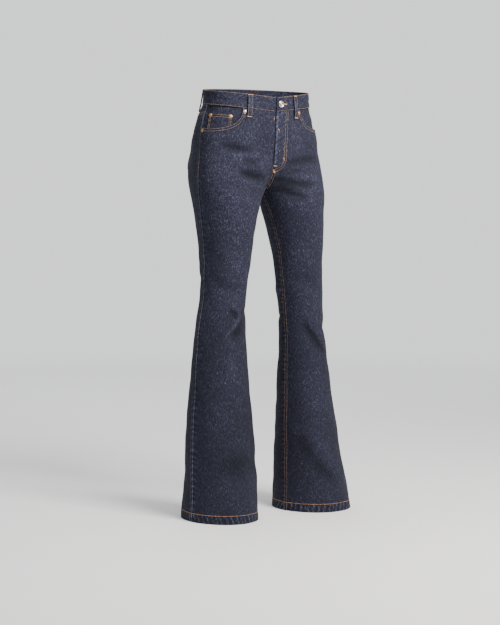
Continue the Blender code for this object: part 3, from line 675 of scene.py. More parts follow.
# %% [markdown]
# ## Denim
#
# Denim is a cotton twill. Its lengthwise yarns are dyed indigo and its crosswise yarns are left white,
# so dark blue shows outside with small pale flecks, and the inside is much paler. Rope-dyed yarn varies
# in thickness, and the thick places, called slubs, show as short streaks up the leg. Unwashed denim is
# dark and matt, with a slight fuzz that catches light at a grazing angle, which is the sheen.
#
# An image texture could give this, but a node pattern stays sharp at any distance and has no seams.
# It is laid out by a UV map in metres, so that the yarns follow each cut piece. Real twill lines are
# 0.7 mm apart, too fine to show here, so the twill is drawn twice as coarse and the pale flecks, thin
# winding lines along the middle value of a noise, about six times as coarse.

# %% Tables of the denim
FLECK = 0.0052
SLUB_WIDTH, SLUB_LENGTH = 0.0024, 0.0085
TWILL_PITCH, TWILL_TURN, TWILL_WANDER = 0.0016, -35.0, 0.6
CLOUD = 0.09
ONE_BAND = 1 / pi

# The yarns' patterns over the flat cut: their size across and along, their turn, and their noise.
PATTERN_COLUMNS = ("across", "along", "turn", "detail", "roughness", "distortion")
PATTERNS = {
    "flecks": (FLECK, FLECK * 1.5, 28.0, 1.0, 0.6, 0.5),
    "slubs": (SLUB_WIDTH, SLUB_LENGTH, 0.0, 2.0, 0.6, 0.0),
    "weft": (SLUB_LENGTH * 0.7, SLUB_WIDTH * 0.8, 0.0, 1.0, 0.5, 0.0),
    "clouds": (CLOUD, CLOUD * 1.6, 0.0, 2.0, 0.5, 0.0),
}

# How much each pattern pales the cloth; the cloth's attribute brings its rubbing together with its painted
# shade and highlights. The yarns also make its relief.
YARN_WEIGHTS = {"flecks": 0.34, "slubs": 0.72, "weft": 0.36}
SHADE_WEIGHTS = {"clouds": 0.22, "wear_and_painted_light": 0.50, "twill": 0.10}
SHADE_OFFSET = -0.405
FLECK_REACH = 0.075
TWILL_RELIEF = 0.25
RELIEF_DEPTH = 0.0012
print(len(PATTERNS), "patterns and a twill", TWILL_PITCH * 1000, "mm apart")


# %% Denim outside and inside
def denim(name, shades, bump, sheen):
    """Twill: yarn flecks over a dark ground, paler where the cloth is rubbed, with painted shade and
    highlights from the cloth's attribute.
    """
    material, tree = new_material(name)
    flat = add_node(tree, "ShaderNodeUVMap", uv_map="cloth").outputs["UV"]
    # The attribute holds the rubbing of the cloth together with its painted shade and highlights.
    found = {"wear_and_painted_light": add_node(tree, "ShaderNodeAttribute", attribute_name="wear_and_painted_light").outputs["Fac"]}
    for pattern, row in PATTERNS.items():
        values = dict(zip(PATTERN_COLUMNS, row))
        scaled = add_node(tree, "ShaderNodeMapping", {
            "Vector": flat, "Rotation": (0.0, 0.0, radians(values["turn"])),
            "Scale": (1 / values["across"], 1 / values["along"], 1.0),
        })
        found[pattern] = add_node(tree, "ShaderNodeTexNoise", {
            "Vector": scaled.outputs["Vector"], "Scale": 1.0, "Detail": values["detail"],
            "Roughness": values["roughness"], "Distortion": values["distortion"],
        }, noise_dimensions="2D").outputs["Fac"]

    off_middle = add_node(tree, "ShaderNodeMath", {0: found["flecks"], 1: 0.5}, operation="SUBTRACT")
    distance = add_node(tree, "ShaderNodeMath", {0: off_middle.outputs[0]}, operation="ABSOLUTE")
    found["flecks"] = add_node(
        tree, "ShaderNodeMapRange",
        {"Value": distance.outputs[0], "From Min": FLECK_REACH, "From Max": 0.0},
    ).outputs["Result"]
    slanted = add_node(tree, "ShaderNodeMapping", {
        "Vector": flat, "Rotation": (0.0, 0.0, radians(TWILL_TURN)),
        "Scale": (1 / TWILL_PITCH, 1 / TWILL_PITCH, 1.0),
    })
    found["twill"] = add_node(
        tree, "ShaderNodeTexWave",
        {"Vector": slanted.outputs["Vector"], "Scale": ONE_BAND, "Distortion": TWILL_WANDER},
    ).outputs["Fac"]

    # Each pattern is added in turn: its value times its weight, plus the total so far.
    totals = {"yarn": 0.0}
    for total, start, weights in (
        ("yarn", "yarn", YARN_WEIGHTS),
        ("shade", "yarn", SHADE_WEIGHTS),
        ("relief", "yarn", {"twill": TWILL_RELIEF}),
    ):
        so_far = totals[start]
        for pattern, weight in weights.items():
            so_far = add_node(
                tree, "ShaderNodeMath", {0: found[pattern], 1: weight, 2: so_far}, operation="MULTIPLY_ADD",
            ).outputs[0]
        totals[total] = so_far
    shade = add_node(tree, "ShaderNodeMath", {0: totals["shade"], 1: SHADE_OFFSET}, operation="ADD")
    ramp = add_node(tree, "ShaderNodeValToRGB", {"Fac": shade.outputs[0]})
    ramp.color_ramp.elements[0].color = linear(shades[0])
    ramp.color_ramp.elements[1].color = linear(shades[2])
    middle = ramp.color_ramp.elements.new(0.5)
    middle.color = linear(shades[1])

    relief = add_node(
        tree, "ShaderNodeBump", {"Height": totals["relief"], "Strength": bump, "Distance": RELIEF_DEPTH},
    )
    shader = add_node(
        tree, "ShaderNodeBsdfPrincipled",
        {"Base Color": ramp.outputs["Color"], "Roughness": 0.85, "IOR": 1.5, "Specular IOR Level": 0.12,
         "Normal": relief.outputs["Normal"], "Sheen Weight": sheen, "Sheen Roughness": 0.45},
    )
    add_node(tree, "ShaderNodeOutputMaterial", {"Surface": shader.outputs["BSDF"]})
    return material


denim_outside = denim("indigo_cotton_twill", ("15161e", "2a2b3b", "5b5e73"), 0.5, 0.02)
denim_inside = denim("indigo_cotton_twill_inside", ("343a4b", "4d5569", "7c8396"), 0.5, 0.03)
print("cloth finishes:", denim_outside.name, denim_inside.name)

# %% [markdown]
# ## A sheet of cloth
#
# A cloth piece starts as a flat grid, as a cut piece starts flat on the table, and each of its points
# is then laid on the form. Solidify gives the sheet its real thickness on the inner side, and a narrow
# Bevel rounds the cut edges so that they catch light. Modelling both faces by hand would double the
# work, and the two faces could drift apart.

# %% Lay a sheet on the form
EDGE_ROUND = 0.0004
EDGE_ANGLE = radians(60)
CLOTH_PIECES = {}


def as_piece(name, mesh, node=None):
    """Links a finished mesh as a piece that rides on the jeans and may stand for a node."""
    piece = bpy.data.objects.new(name, mesh)
    bpy.context.scene.collection.objects.link(piece)
    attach(piece, BODY)
    if node:
        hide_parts(node)
    return piece


def lay_cloth(
    node, columns, rows, place, thickness, turned_grain=False, finishes=None, rub=0.0,
):
    """A sheet on the form, in place of a node. place(column, row) gives side, share, height and lift."""
    bm = bmesh.new()
    bmesh.ops.create_grid(bm, x_segments=len(columns) - 1, y_segments=len(rows) - 1, size=1.0)
    mesh = bpy.data.meshes.new(f"cloth_{node}")
    bm.to_mesh(mesh)
    bm.free()
    column, row = (values.ravel() for values in np.meshgrid(columns, rows))
    side, share, height, lift = np.broadcast_arrays(*place(column, row))
    points, wear_and_painted_light, flat = surface(side, share, height, lift)
    if turned_grain:
        flat = flat[:, ::-1]
    laid = points.reshape(len(rows), len(columns), 3)
    cut = [
        float(np.linalg.norm(np.diff(laid, axis=axis), axis=2).sum(axis=axis).max())
        for axis in (1, 0)
    ]
    mesh.vertices.foreach_set("co", points.ravel())
    corners = np.zeros(len(mesh.loops), dtype=int)
    mesh.loops.foreach_get("vertex_index", corners)
    layer = mesh.uv_layers.new(name="cloth")
    layer.uv.foreach_set("vector", flat[corners].ravel())
    # The attribute holds rubbing with painted shade and highlights; rub pales a whole piece.
    mesh.attributes.new("wear_and_painted_light", "FLOAT", "POINT").data.foreach_set("value", wear_and_painted_light + rub)
    mesh.update()

    middle = mesh.polygons[len(mesh.polygons) // 2]
    near = middle.vertices[0]
    out = outward(side[near:near + 1], share[near:near + 1], height[near:near + 1])[0]
    if middle.normal @ Vector(out) < 0.0:
        mesh.flip_normals()
    bm = bmesh.new()
    bm.from_mesh(mesh)
    bmesh.ops.remove_doubles(bm, verts=bm.verts, dist=MERGE_DISTANCE)
    for face in bm.faces:
        face.smooth = True
    bm.to_mesh(mesh)
    bm.free()
    for finish in finishes or (denim_outside, denim_inside):
        mesh.materials.append(finish)

    piece = as_piece(f"cloth_{node}", mesh, node)
    wall = piece.modifiers.new("thickness", "SOLIDIFY")
    wall.thickness = thickness
    wall.offset = -1.0
    wall.use_even_offset = False
    wall.material_offset = 1
    edge = piece.modifiers.new("rounded_edges", "BEVEL")
    edge.width = EDGE_ROUND
    edge.segments = 2
    edge.limit_method = "ANGLE"
    edge.angle_limit = EDGE_ANGLE
    CLOTH_PIECES[node] = (piece, cut)
    print(piece.name, len(mesh.polygons), "faces")
    return piece


def between_seams(share):
    """Shares from 0 to 1 drawn in a little at both ends, to leave the seams' gaps."""
    return SEAM_SHARE + (1.0 - 2.0 * SEAM_SHARE) * share


# %% [markdown]
# ## Fronts and backs
#
# A front runs from the hem to the waist seam, and its top outer corner is cut away in a curve for the
# pocket mouth. To follow that curve the grid's columns slide: low on the leg they stand evenly between
# the seams, and from the thigh up they lean over until half of them end on the mouth. A back is
# simpler, and ends on the sloping yoke seam. Extra columns beside the seams hold their finer ripples.

# %% Grid of a panel
MOUTH_SHARES = {RIGHT: 0.545, LEFT: 0.595}
MOUTH_DEPTH = 0.058
MOUTH_CORNER = 2.6
MOUTH_SAMPLES = 400
MOUTH_PART = 8 / 14
HIP_QUARTER = 0.250
MORPH_START = 0.760
PLAIN_TOP = 0.900
PANEL_COLUMNS = 84
LEG_ROWS = 260
HIP_ROWS = 44
EDGE_COLUMNS = np.array([0.003, 0.007, 0.018, 0.030, 0.042])
MOUTH_FOLD = 0.009
MOUTH_LIFT = 0.0005


def mouth_outline(side, wanted):
    """Share and depth at parts (0 to 1) of a pocket mouth, from the side seam to the waist seam."""
    angle = np.linspace(0.0, pi / 2, MOUTH_SAMPLES)
    share = MOUTH_SHARES[side] * np.sin(angle) ** (2.0 / MOUTH_CORNER)
    depth = MOUTH_DEPTH * np.abs(np.cos(angle)) ** (2.0 / MOUTH_CORNER)
    length = np.hypot(np.diff(share) * HIP_QUARTER, np.diff(depth)).cumsum()
    length = np.concatenate([[0.0], length]) / length[-1]
    return np.interp(wanted, length, share), np.interp(wanted, length, depth)


def panel_columns():
    """Even columns with a few more beside both seams."""
    even = np.linspace(0.0, 1.0, PANEL_COLUMNS + 1)
    return np.unique(np.concatenate([even, EDGE_COLUMNS, 1.0 - EDGE_COLUMNS]))


def panel_levels():
    """Rows of a panel: heights up to PLAIN_TOP, then parts of the way to its upper edge."""
    low = np.linspace(0.0, PLAIN_TOP, LEG_ROWS, endpoint=False)
    return np.concatenate([low, PLAIN_TOP + np.linspace(0.0, 1.0, HIP_ROWS + 1)])


def level_height(level, top):
    """Height of a level on a panel whose upper edge is at top."""
    return np.where(level < PLAIN_TOP, level, PLAIN_TOP + (level - PLAIN_TOP) * (top - PLAIN_TOP))


print(len(panel_columns()), "columns and", len(panel_levels()), "rows in a panel")


# %% Fronts
def front_place(side):
    """Where each point of a front lies."""

    def place(column, level):
        mouth_share, mouth_depth = mouth_outline(side, np.minimum(column / MOUTH_PART, 1.0))
        past = np.clip((column - MOUTH_PART) / (1.0 - MOUTH_PART), 0.0, 1.0)
        past_share = MOUTH_SHARES[side] + (1.0 - MOUTH_SHARES[side]) * past
        top_share = np.where(past > 0.0, past_share, mouth_share)
        on_mouth = past == 0.0
        top = waist_seam(top_share) - SEAM_GAP / 2 - np.where(on_mouth, mouth_depth, 0.0)
        low = 0.5 * (level - MORPH_START) / (PLAIN_TOP - MORPH_START)
        blend = eased(np.where(level < PLAIN_TOP, low, 0.5 + 0.5 * (level - PLAIN_TOP)))
        share = column * (1.0 - blend) + top_share * blend
        height = level_height(level, top)
        fold = on_mouth * (1.0 - eased((top - height - MOUTH_FOLD) / 0.002))
        return side, between_seams(share), height, MOUTH_LIFT * fold

    return place


for side in (RIGHT, LEFT):
    lay_cloth(f"front_{SIDE_NAMES[side]}", panel_columns(), panel_levels(), front_place(side), DENIM)

# %% Backs and yokes
YOKE_SIDE = 0.026
YOKE_CENTRE = 0.066
YOKE_ROWS = 22
YOKE_RISE = 0.0007


def yoke_seam(share):
    """Height of the seam between a back and its yoke."""
    return waist_seam(share) - YOKE_SIDE - (YOKE_CENTRE - YOKE_SIDE) * np.abs(share)


def back_place(side):
    """Where each point of a back lies."""

    def place(column, level):
        share = -between_seams(column)
        return side, share, level_height(level, yoke_seam(share) - SEAM_GAP / 2), 0.0

    return place


def yoke_place(side):
    """Where each point of a yoke lies. Its lower edge laps over the back."""

    def place(column, row):
        share = -between_seams(column)
        low = yoke_seam(share) + SEAM_GAP / 2
        height = low + (waist_seam(share) - SEAM_GAP / 2 - low) * row
        return side, share, height, YOKE_RISE * plateau(height - low, SEAM_BAND)

    return place


for side in (RIGHT, LEFT):
    lay_cloth(f"back_{SIDE_NAMES[side]}", panel_columns(), panel_levels(), back_place(side), DENIM)
    yoke_rows = np.linspace(0.0, 1.0, YOKE_ROWS)
    lay_cloth(f"yoke_{SIDE_NAMES[side]}", panel_columns(), yoke_rows, yoke_place(side), DENIM)

# %% [markdown]
# ## Pockets
#
# Inside each front pocket's mouth lies the hip facing, a piece of the same denim set a few
# millimetres deeper, which gives the mouth its shadow. The coin pocket lies on the right facing and
# runs down behind the front. The back pockets are patches with a pointed lower edge, sewn on top.

# %% Facings, coin pocket and back pockets
FACING_PAST_MOUTH = 0.085
FACING_DEPTH = 0.092
FACING_RISE = 0.045
FACING_TUCK = 0.003
FACING_EDGE_SINK = 0.0019
FACING_SINK = 0.0037
FACING_SLOPE_HEIGHT = 0.016
FACING_SLOPE_SHARE = 0.08
COIN_SHARES = (0.092, 0.428)
COIN_TOP = 0.018
COIN_BOTTOM = 0.084
COIN_SINK = 0.0019
POCKET_CENTRE = 0.615
POCKET_TOP_WIDTH = 0.138
POCKET_LOW_WIDTH = 0.120
POCKET_BELOW_YOKE = 0.012
POCKET_SIDE = 0.112
POCKET_POINT = 0.022
POCKET_SEAT = 0.0007
SMALL_GRID = 40


def facing_place(side):
    """Where each point of a hip facing lies."""
    inner_share = MOUTH_SHARES[side] + FACING_PAST_MOUTH

    def place(column, row):
        share = SEAM_SHARE + column * inner_share
        bottom = FACING_DEPTH - FACING_RISE * column**2
        below = bottom * (1.0 - row) - FACING_TUCK * row
        slope = eased(below / FACING_SLOPE_HEIGHT) * eased(share / FACING_SLOPE_SHARE)
        sink = FACING_EDGE_SINK + (FACING_SINK - FACING_EDGE_SINK) * slope
        return side, share, waist_seam(share) - below, -sink

    return place


def coin_place(column, row):
    """Where each point of the coin pocket lies."""
    share = COIN_SHARES[0] + (COIN_SHARES[1] - COIN_SHARES[0]) * column
    below = COIN_BOTTOM + (COIN_TOP - COIN_BOTTOM) * row
    return RIGHT, share, waist_seam(share) - below, -COIN_SINK


def back_pocket_place(side):
    """Where each point of a back pocket lies. Columns run from -1 to 1."""

    def place(column, row):
        width = POCKET_LOW_WIDTH + (POCKET_TOP_WIDTH - POCKET_LOW_WIDTH) * row
        share = -POCKET_CENTRE - column * width / 2 / HIP_QUARTER
        top = yoke_seam(share) - POCKET_BELOW_YOKE
        drop = POCKET_SIDE + POCKET_POINT * (1.0 - np.abs(column))
        return side, share, top - drop * (1.0 - row), POCKET_SEAT + DENIM

    return place


small = np.linspace(0.0, 1.0, SMALL_GRID + 1)
for side in (RIGHT, LEFT):
    lay_cloth(f"hip_facing_{SIDE_NAMES[side]}", small, small, facing_place(side), DENIM)
    wide = np.linspace(-1.0, 1.0, SMALL_GRID + 1)
    lay_cloth(f"back_pocket_{SIDE_NAMES[side]}", wide, small, back_pocket_place(side), DENIM)
lay_cloth("coin_pocket", small, small, coin_place, DENIM)

# %% [markdown]
# ## Waistband, fly, loops and hems
#
# The waistband is one long strip. It starts hidden under the left front, runs round the waist and ends
# at the buttonhole, so the same turn round the waist places every point, and a turn below zero is the
# hidden end. Its yarns run round the body, so its pattern is turned. A belt loop is a short strip
# that is sewn down at both ends and stands clear between them. A hem is the doubled cloth inside.

# %% Waistband and fly shield
BAND_OUTER = 0.0008
BAND_INNER = -0.0018
BAND_UNDER_TURN = 0.22
BAND_STEP = 0.0125
BAND_ROWS = 17
BAND_PUFF = 0.0006
BAND_PINCH = 0.0013
PINCH_ROWS = 0.09
SHIELD_SHARE = 0.80
SHIELD_BOTTOM = 0.885
SHIELD_GAP = 0.0004


def band_place(turn, row):
    """Where each point of the waistband lies."""
    side, share = around_waist(turn)
    low = waist_seam(share) + SEAM_GAP / 2
    under = np.where(turn < 0.0, -2 * LAP, 0.0)
    ripple = 0.5 + 0.5 * np.sin(turn * 53.0 + 2.0 * np.sin(turn * 17.0))
    puff = BAND_PUFF * np.sin(pi * row) ** 0.7 * (0.6 + 0.8 * ripple)
    pinch_row = 0.50 + 0.10 * np.sin(turn * 7.0)
    pinch = BAND_PINCH * bell(row, pinch_row, PINCH_ROWS) * (0.3 + 0.7 * np.sin(turn * 11.0) ** 2)
    return side, share, low + (band_top(share) - low) * row, BAND_OUTER + under + puff - pinch


def shield_place(column, row):
    """Where each point of the fly shield lies."""
    share = SHIELD_SHARE + (1.0 - SHIELD_SHARE) * column
    top = waist_seam(share) - SEAM_GAP / 2
    return LEFT, share, SHIELD_BOTTOM + (top - SHIELD_BOTTOM) * row, -DENIM - SHIELD_GAP


turns = np.concatenate([np.arange(-BAND_UNDER_TURN, -0.001, BAND_STEP), np.arange(0.0, 4.0001, BAND_STEP)])
band_rows = np.linspace(0.0, 1.0, BAND_ROWS)
lay_cloth(
    "waistband", turns, band_rows, band_place, BAND_OUTER - BAND_INNER,
    turned_grain=True, finishes=(denim_outside, denim_outside),
)
lay_cloth("fly_shield", small[::2], small, shield_place, 2 * DENIM)

# %% Belt loops and hems
LOOP_WIDTH = 0.013
LOOP_THICKNESS = 0.0016
LOOP_BELOW = 0.022
LOOP_ARCH = 0.0034
LOOP_ARCH_POWER = 0.7
LOOP_SEAT_ROWS = 0.25
LOOP_EDGE_DROP = 0.0003
LOOP_RUB = 0.12
LOOP_TURNS = {
    "loop_front_right": 0.365,
    "loop_side_right": 1.25,
    "loop_back": 2.0,
    "loop_side_left": 2.75,
    "loop_front_left": 3.700,
}
WAIST_QUARTER = 0.192
HEM_THICKNESS = 0.0024


def loop_place(middle_turn):
    """Where each point of a belt loop lies. Columns run from -1 to 1."""

    def place(column, row):
        side, share = around_waist(middle_turn + column * LOOP_WIDTH / 2 / WAIST_QUARTER)
        low = waist_seam(share) - LOOP_BELOW
        seat = LAYER_GAP + BAND_OUTER * eased(row / LOOP_SEAT_ROWS)
        arch = LOOP_ARCH * np.abs(np.sin(pi * row)) ** LOOP_ARCH_POWER
        height = low + (band_top(share) - LAYER_GAP - low) * row
        return side, share, height, seat + arch + LOOP_THICKNESS - LOOP_EDGE_DROP * np.abs(column) ** 3

    return place


def hem_place(side):
    """Where each point of a hem lies, inside the leg."""

    def place(share, row):
        return side, share, LAYER_GAP + (HEM_HEIGHT - LAYER_GAP) * row, -DENIM - LAYER_GAP

    return place


for node, turn in LOOP_TURNS.items():
    lay_cloth(node, np.linspace(-1.0, 1.0, 9), small, loop_place(turn), LOOP_THICKNESS, rub=LOOP_RUB)
for side in (RIGHT, LEFT):
    around = np.linspace(-1.0, 1.0, 2 * PANEL_COLUMNS + 1)
    lay_cloth(
        f"hem_{SIDE_NAMES[side]}", around, small[::8], hem_place(side), HEM_THICKNESS,
        finishes=(denim_inside, denim_inside),
    )

# %% [markdown]
# ## Sewing
#
# Topstitching gives jeans their look. Each stitch is a short bead of thread that dips into the cloth at
# both ends, so it is a small icosphere drawn out along the row. There are thousands, all alike, so an
# Array makes the copies and each copy's points are then turned onto the cloth. The thread is drawn 1 mm
# thick, a third more than real, so that it shows at this distance. A curve with a dashed material
# would be lighter, but it would not stand up from the cloth as a mesh.

# %% Thread
SHADES_PER_METRE = 260.0


def thread(name, shades):
    """Spun cotton thread, waxed and slightly shiny, with shade that wanders along the row."""
    material, tree = new_material(name)
    place = add_node(tree, "ShaderNodeTexCoord").outputs["Object"]
    noise = add_node(
        tree, "ShaderNodeTexNoise", {"Vector": place, "Scale": SHADES_PER_METRE, "Detail": 2.0},
    )
    ramp = add_node(tree, "ShaderNodeValToRGB", {"Fac": noise.outputs["Fac"]})
    ramp.color_ramp.elements[0].position = 0.35
    ramp.color_ramp.elements[0].color = linear(shades[0])
    ramp.color_ramp.elements[1].position = 0.65
    ramp.color_ramp.elements[1].color = linear(shades[1])
    shader = add_node(
        tree, "ShaderNodeBsdfPrincipled",
        {"Base Color": ramp.outputs["Color"], "Roughness": 0.55, "IOR": 1.5, "Sheen Weight": 0.2},
    )
    add_node(tree, "ShaderNodeOutputMaterial", {"Surface": shader.outputs["BSDF"]})
    return material


tan_thread = thread("waxed_cotton_thread_tan", ("7a6244", "a88661"))
brown_thread = thread("waxed_cotton_thread_brown", ("66503f", "8f6f52"))
orange_thread = thread("waxed_cotton_thread_orange", ("b87a42", "e6ac6c"))
slate_thread = thread("cotton_thread_slate", ("4c5162", "767c8d"))
grey_thread = thread("cotton_thread_grey", ("6c6358", "8e8376"))
print(sum("thread" in material.name for material in bpy.data.materials), "colours of thread")

# %% Stitches
STITCH_PITCH = 0.0034
STITCH_LENGTH = 0.0029
THREAD_WIDTH = 0.0010
THREAD_HEIGHT = 0.0007
STITCH_SEED = 7


def add_stitches(name, centres, along, out, sizes, finish):
    """One joined mesh of stitches from their places, directions and sizes."""
    bm = bmesh.new()
    bmesh.ops.create_icosphere(bm, subdivisions=1, radius=0.5)
    for face in bm.faces:
        face.smooth = True
    bead = bpy.data.meshes.new(name)
    bm.to_mesh(bead)
    bm.free()
    template = np.array([vert.co for vert in bead.vertices])
    copier = bpy.data.objects.new(name, bead)
    bpy.context.scene.collection.objects.link(copier)
    array = copier.modifiers.new("copies", "ARRAY")
    array.count = len(centres)
    array.use_relative_offset = False
    copied = copier.evaluated_get(bpy.context.evaluated_depsgraph_get())
    mesh = bpy.data.meshes.new_from_object(copied)
    bpy.data.objects.remove(copier)

    rng = np.random.default_rng(STITCH_SEED)
    along = along + rng.normal(0.0, 0.05, along.shape)
    along = along / np.linalg.norm(along, axis=1)[:, None]
    across = np.cross(out, along)
    across = across / np.linalg.norm(across, axis=1)[:, None]
    sizes = sizes * rng.uniform(0.92, 1.08, (len(centres), 1))
    frames = np.stack([along, across, out], axis=1) * sizes[:, :, None]
    points = centres[:, None, :] + np.einsum("pk,nkx->npx", template, frames)
    mesh.vertices.foreach_set("co", points.ravel())
    mesh.materials.append(finish)
    mesh.update()
    return as_piece(name, mesh)


print(round(0.1 / STITCH_PITCH), "stitches in 10 cm of a row")

# %% Paths over the cloth
ROW_SAMPLES = 700


def follow(path, pitch):
    """Places at an even pitch on a path over the cloth, with the directions along it and out of it."""
    side, share, height, lift = (np.ravel(a) for a in np.broadcast_arrays(*path))
    points = surface(side, share, height, lift)[0]
    length = np.concatenate([[0.0], np.linalg.norm(np.diff(points, axis=0), axis=1).cumsum()])
    count = max(int(length[-1] / pitch), 1)
    at = (np.arange(count) + 0.5) * length[-1] / count
    centres, ahead, behind = (
        np.stack([np.interp(at + step, length, values) for values in points.T], axis=1)
        for step in (0.0, pitch / 3, -pitch / 3)
    )
    nearest = np.clip(np.searchsorted(length, at), 0, len(side) - 1)
    out = outward(side[nearest], share[nearest], height[nearest])
    along = ahead - behind
    return centres, along / np.linalg.norm(along, axis=1)[:, None], out


def sew(name, paths, finish):
    """Rows of topstitching along paths, as one piece."""
    found = [follow(path, STITCH_PITCH) for path in paths]
    centres, along, out = (np.concatenate(values) for values in zip(*found))
    sizes = np.array([[STITCH_LENGTH, THREAD_WIDTH, THREAD_HEIGHT]])
    piece = add_stitches(name, centres + out * THREAD_HEIGHT * 0.15, along, out, sizes, finish)
    print(name, len(centres), "stitches in", len(paths), "rows")
    return piece


def beside(seam, side, front, distance, heights):
    """A path at a distance from a panel's side seam, or from its inner one."""
    sides, sign = np.full(len(heights), side), 1.0 if front else -1.0
    part = distance / smooth_form(sides, np.full(len(heights), sign), heights)[1]
    return sides, sign * (part if seam == "side" else 1.0 - part), heights, 0.0


def on_piece(place, column, row):
    """A path over a piece, in its own columns and rows."""
    return place(*np.broadcast_arrays(column, row))


print("each row is followed through", ROW_SAMPLES, "points")

# %% [markdown]
# ## Where the rows run
#
# A jeans maker uses two needles wherever a seam is felled, which leaves two rows 6 to 8 mm apart: the
# inseams, the seat and yoke seams, the fly, the pocket mouths and the patch pockets. A single row
# holds the side seams, the waistband's edges and the hems. Each row below is a path in the words of
# the form, such as "2 mm inside the centre front from here to here", so it stays on its seam if the
# form is changed.

# %% Rows of stitching
NEAR_ROW, FAR_ROW = 0.0018, 0.0078
INSEAM_ROWS = (0.0035, 0.0110)
SIDE_SHOWN = (0.862, 0.926)
SIDE_TOP = 0.985
ROW_END = 0.002
YOKE_MIDDLE, BAND_MIDDLE = float(yoke_seam(-1.0)), float(waist_seam(-1.0)) - ROW_END
steps = np.linspace(0.0, 1.0, ROW_SAMPLES)


def between(low, high):
    """Even steps from one value to another."""
    return low + (high - low) * steps


inseam_rows, seam_rows, side_rows, hem_rows = [], [], [], []
for side in (RIGHT, LEFT):
    everywhere = np.full(ROW_SAMPLES, side)
    for distance in INSEAM_ROWS:
        inseam_rows.append(beside("inner", side, True, distance, between(ROW_END, INSEAM - 0.003)))
    for distance in (NEAR_ROW, FAR_ROW):
        yoke = yoke_seam(-steps) + distance
        seam_rows.append((everywhere, -between(0.004, 0.996), yoke, YOKE_RISE))
    hem_rows.append((everywhere, between(-0.999, 0.999), np.full(ROW_SAMPLES, HEM_HEIGHT), 0.0))
    side_rows.append(beside("side", side, False, NEAR_ROW, between(ROW_END, SIDE_SHOWN[0])))
    side_rows.append(beside("side", side, False, NEAR_ROW, between(SIDE_SHOWN[1], SIDE_TOP)))
    seam_rows.append(beside("side", side, False, NEAR_ROW, between(*SIDE_SHOWN)))
for distance in (NEAR_ROW, FAR_ROW):
    seat = between(INSEAM + 2 * ROW_END, YOKE_MIDDLE - ROW_END)
    seam_rows.append(beside("inner", LEFT, False, distance, seat))
    on_yoke = between(YOKE_MIDDLE + ROW_END, BAND_MIDDLE)
    side, share, height, lift = beside("inner", LEFT, False, distance, on_yoke)
    seam_rows.append((side, share, height, YOKE_RISE * plateau(height - YOKE_MIDDLE, SEAM_BAND)))
    below_fly = between(INSEAM + 2 * ROW_END, FLY_BOTTOM - 0.006)
    seam_rows.append(beside("inner", LEFT, True, distance, below_fly))
print(sum(len(rows) for rows in (inseam_rows, seam_rows, side_rows, hem_rows)), "rows on the seams")

# %% Rows on the fly, mouths and pockets
FLY_STITCH_END = FLY_BOTTOM - 0.009
FLY_TOP_SHARE = 0.85
FLY_ROW_INSETS = (0.0, 0.006)
POCKET_HEM_ROWS = (0.0022, 0.0125)
COIN_INSETS = (0.06, 0.17)


def fly_row(inset):
    """The curved row that marks the fly, on the left front."""
    turn = np.linspace(0.0, pi / 2, ROW_SAMPLES // 2)
    radius, top = FLY_WIDTH - inset, waist_seam(FLY_TOP_SHARE) - 0.001
    heights = np.concatenate([
        np.linspace(top, FLY_STITCH_END + FLY_WIDTH, ROW_SAMPLES // 2),
        FLY_STITCH_END + inset + radius * (1.0 - np.sin(turn)),
    ])
    away = np.concatenate([np.full(ROW_SAMPLES // 2, radius), radius * np.cos(turn)])
    sides = np.full(len(heights), LEFT)
    quarter = smooth_form(sides, np.ones(len(heights)), heights)[1]
    return sides, 1.0 - np.maximum(away, 0.001) / quarter, heights, 0.0


def mouth_row(side, inset):
    """A row on the front beside its pocket mouth."""
    share, depth = mouth_outline(side, between(0.01, 0.985))
    share = share * (1.0 + inset / (MOUTH_SHARES[side] * HIP_QUARTER))
    height = waist_seam(share) - depth * (1.0 + inset / MOUTH_DEPTH)
    return np.full(ROW_SAMPLES, side), share, height, MOUTH_LIFT


def pocket_rows(side, inset):
    """Rows down one side of a back pocket, to its point and up the other side."""
    place = back_pocket_place(side)
    edge = 1.0 - inset / (POCKET_LOW_WIDTH / 2)
    lowest = inset / POCKET_SIDE
    return [
        on_piece(place, -edge, between(1.0, lowest)),
        on_piece(place, between(-edge, edge), lowest),
        on_piece(place, edge, between(lowest, 1.0)),
    ]


fly_rows = [fly_row(inset) for inset in FLY_ROW_INSETS]
mouth_rows = [mouth_row(side, FAR_ROW) for side in (RIGHT, LEFT)]
mouth_edge_rows = [mouth_row(side, NEAR_ROW) for side in (RIGHT, LEFT)]
patch_rows = []
for side in (RIGHT, LEFT):
    for inset in (NEAR_ROW, FAR_ROW):
        patch_rows += pocket_rows(side, inset)
    for below in POCKET_HEM_ROWS:
        top_row = 1.0 - below / POCKET_SIDE
        patch_rows.append(on_piece(back_pocket_place(side), between(-0.965, 0.965), top_row))
coin_rows = []
for inset in COIN_INSETS:
    coin_rows.append(on_piece(coin_place, inset * 0.6 + 0.02, between(0.0, 0.97)))
    coin_rows.append(on_piece(coin_place, 0.98 - inset * 0.6, between(0.0, 0.97)))
    coin_rows.append(on_piece(coin_place, between(0.04, 0.96), 0.99 - inset * 0.75))
pocket_count = len(mouth_rows + mouth_edge_rows + patch_rows + coin_rows)
print(len(fly_rows), "rows on the fly,", pocket_count, "on the pockets")

# %% Rows on the waistband and loops
BAND_ROW_PLACES = (0.045, 0.955)
LOOP_ROW_PLACES = (-0.66, 0.66)
band_rows = [on_piece(band_place, between(0.012, 3.992), row) for row in BAND_ROW_PLACES]
side, share, height, lift = on_piece(band_place, between(0.1, 3.9), 0.965)
band_rows.append((side, share, height, BAND_INNER))
loop_rows = []
for turn in LOOP_TURNS.values():
    for column in LOOP_ROW_PLACES:
        loop_rows.append(on_piece(loop_place(turn), column, between(0.03, 0.97)))

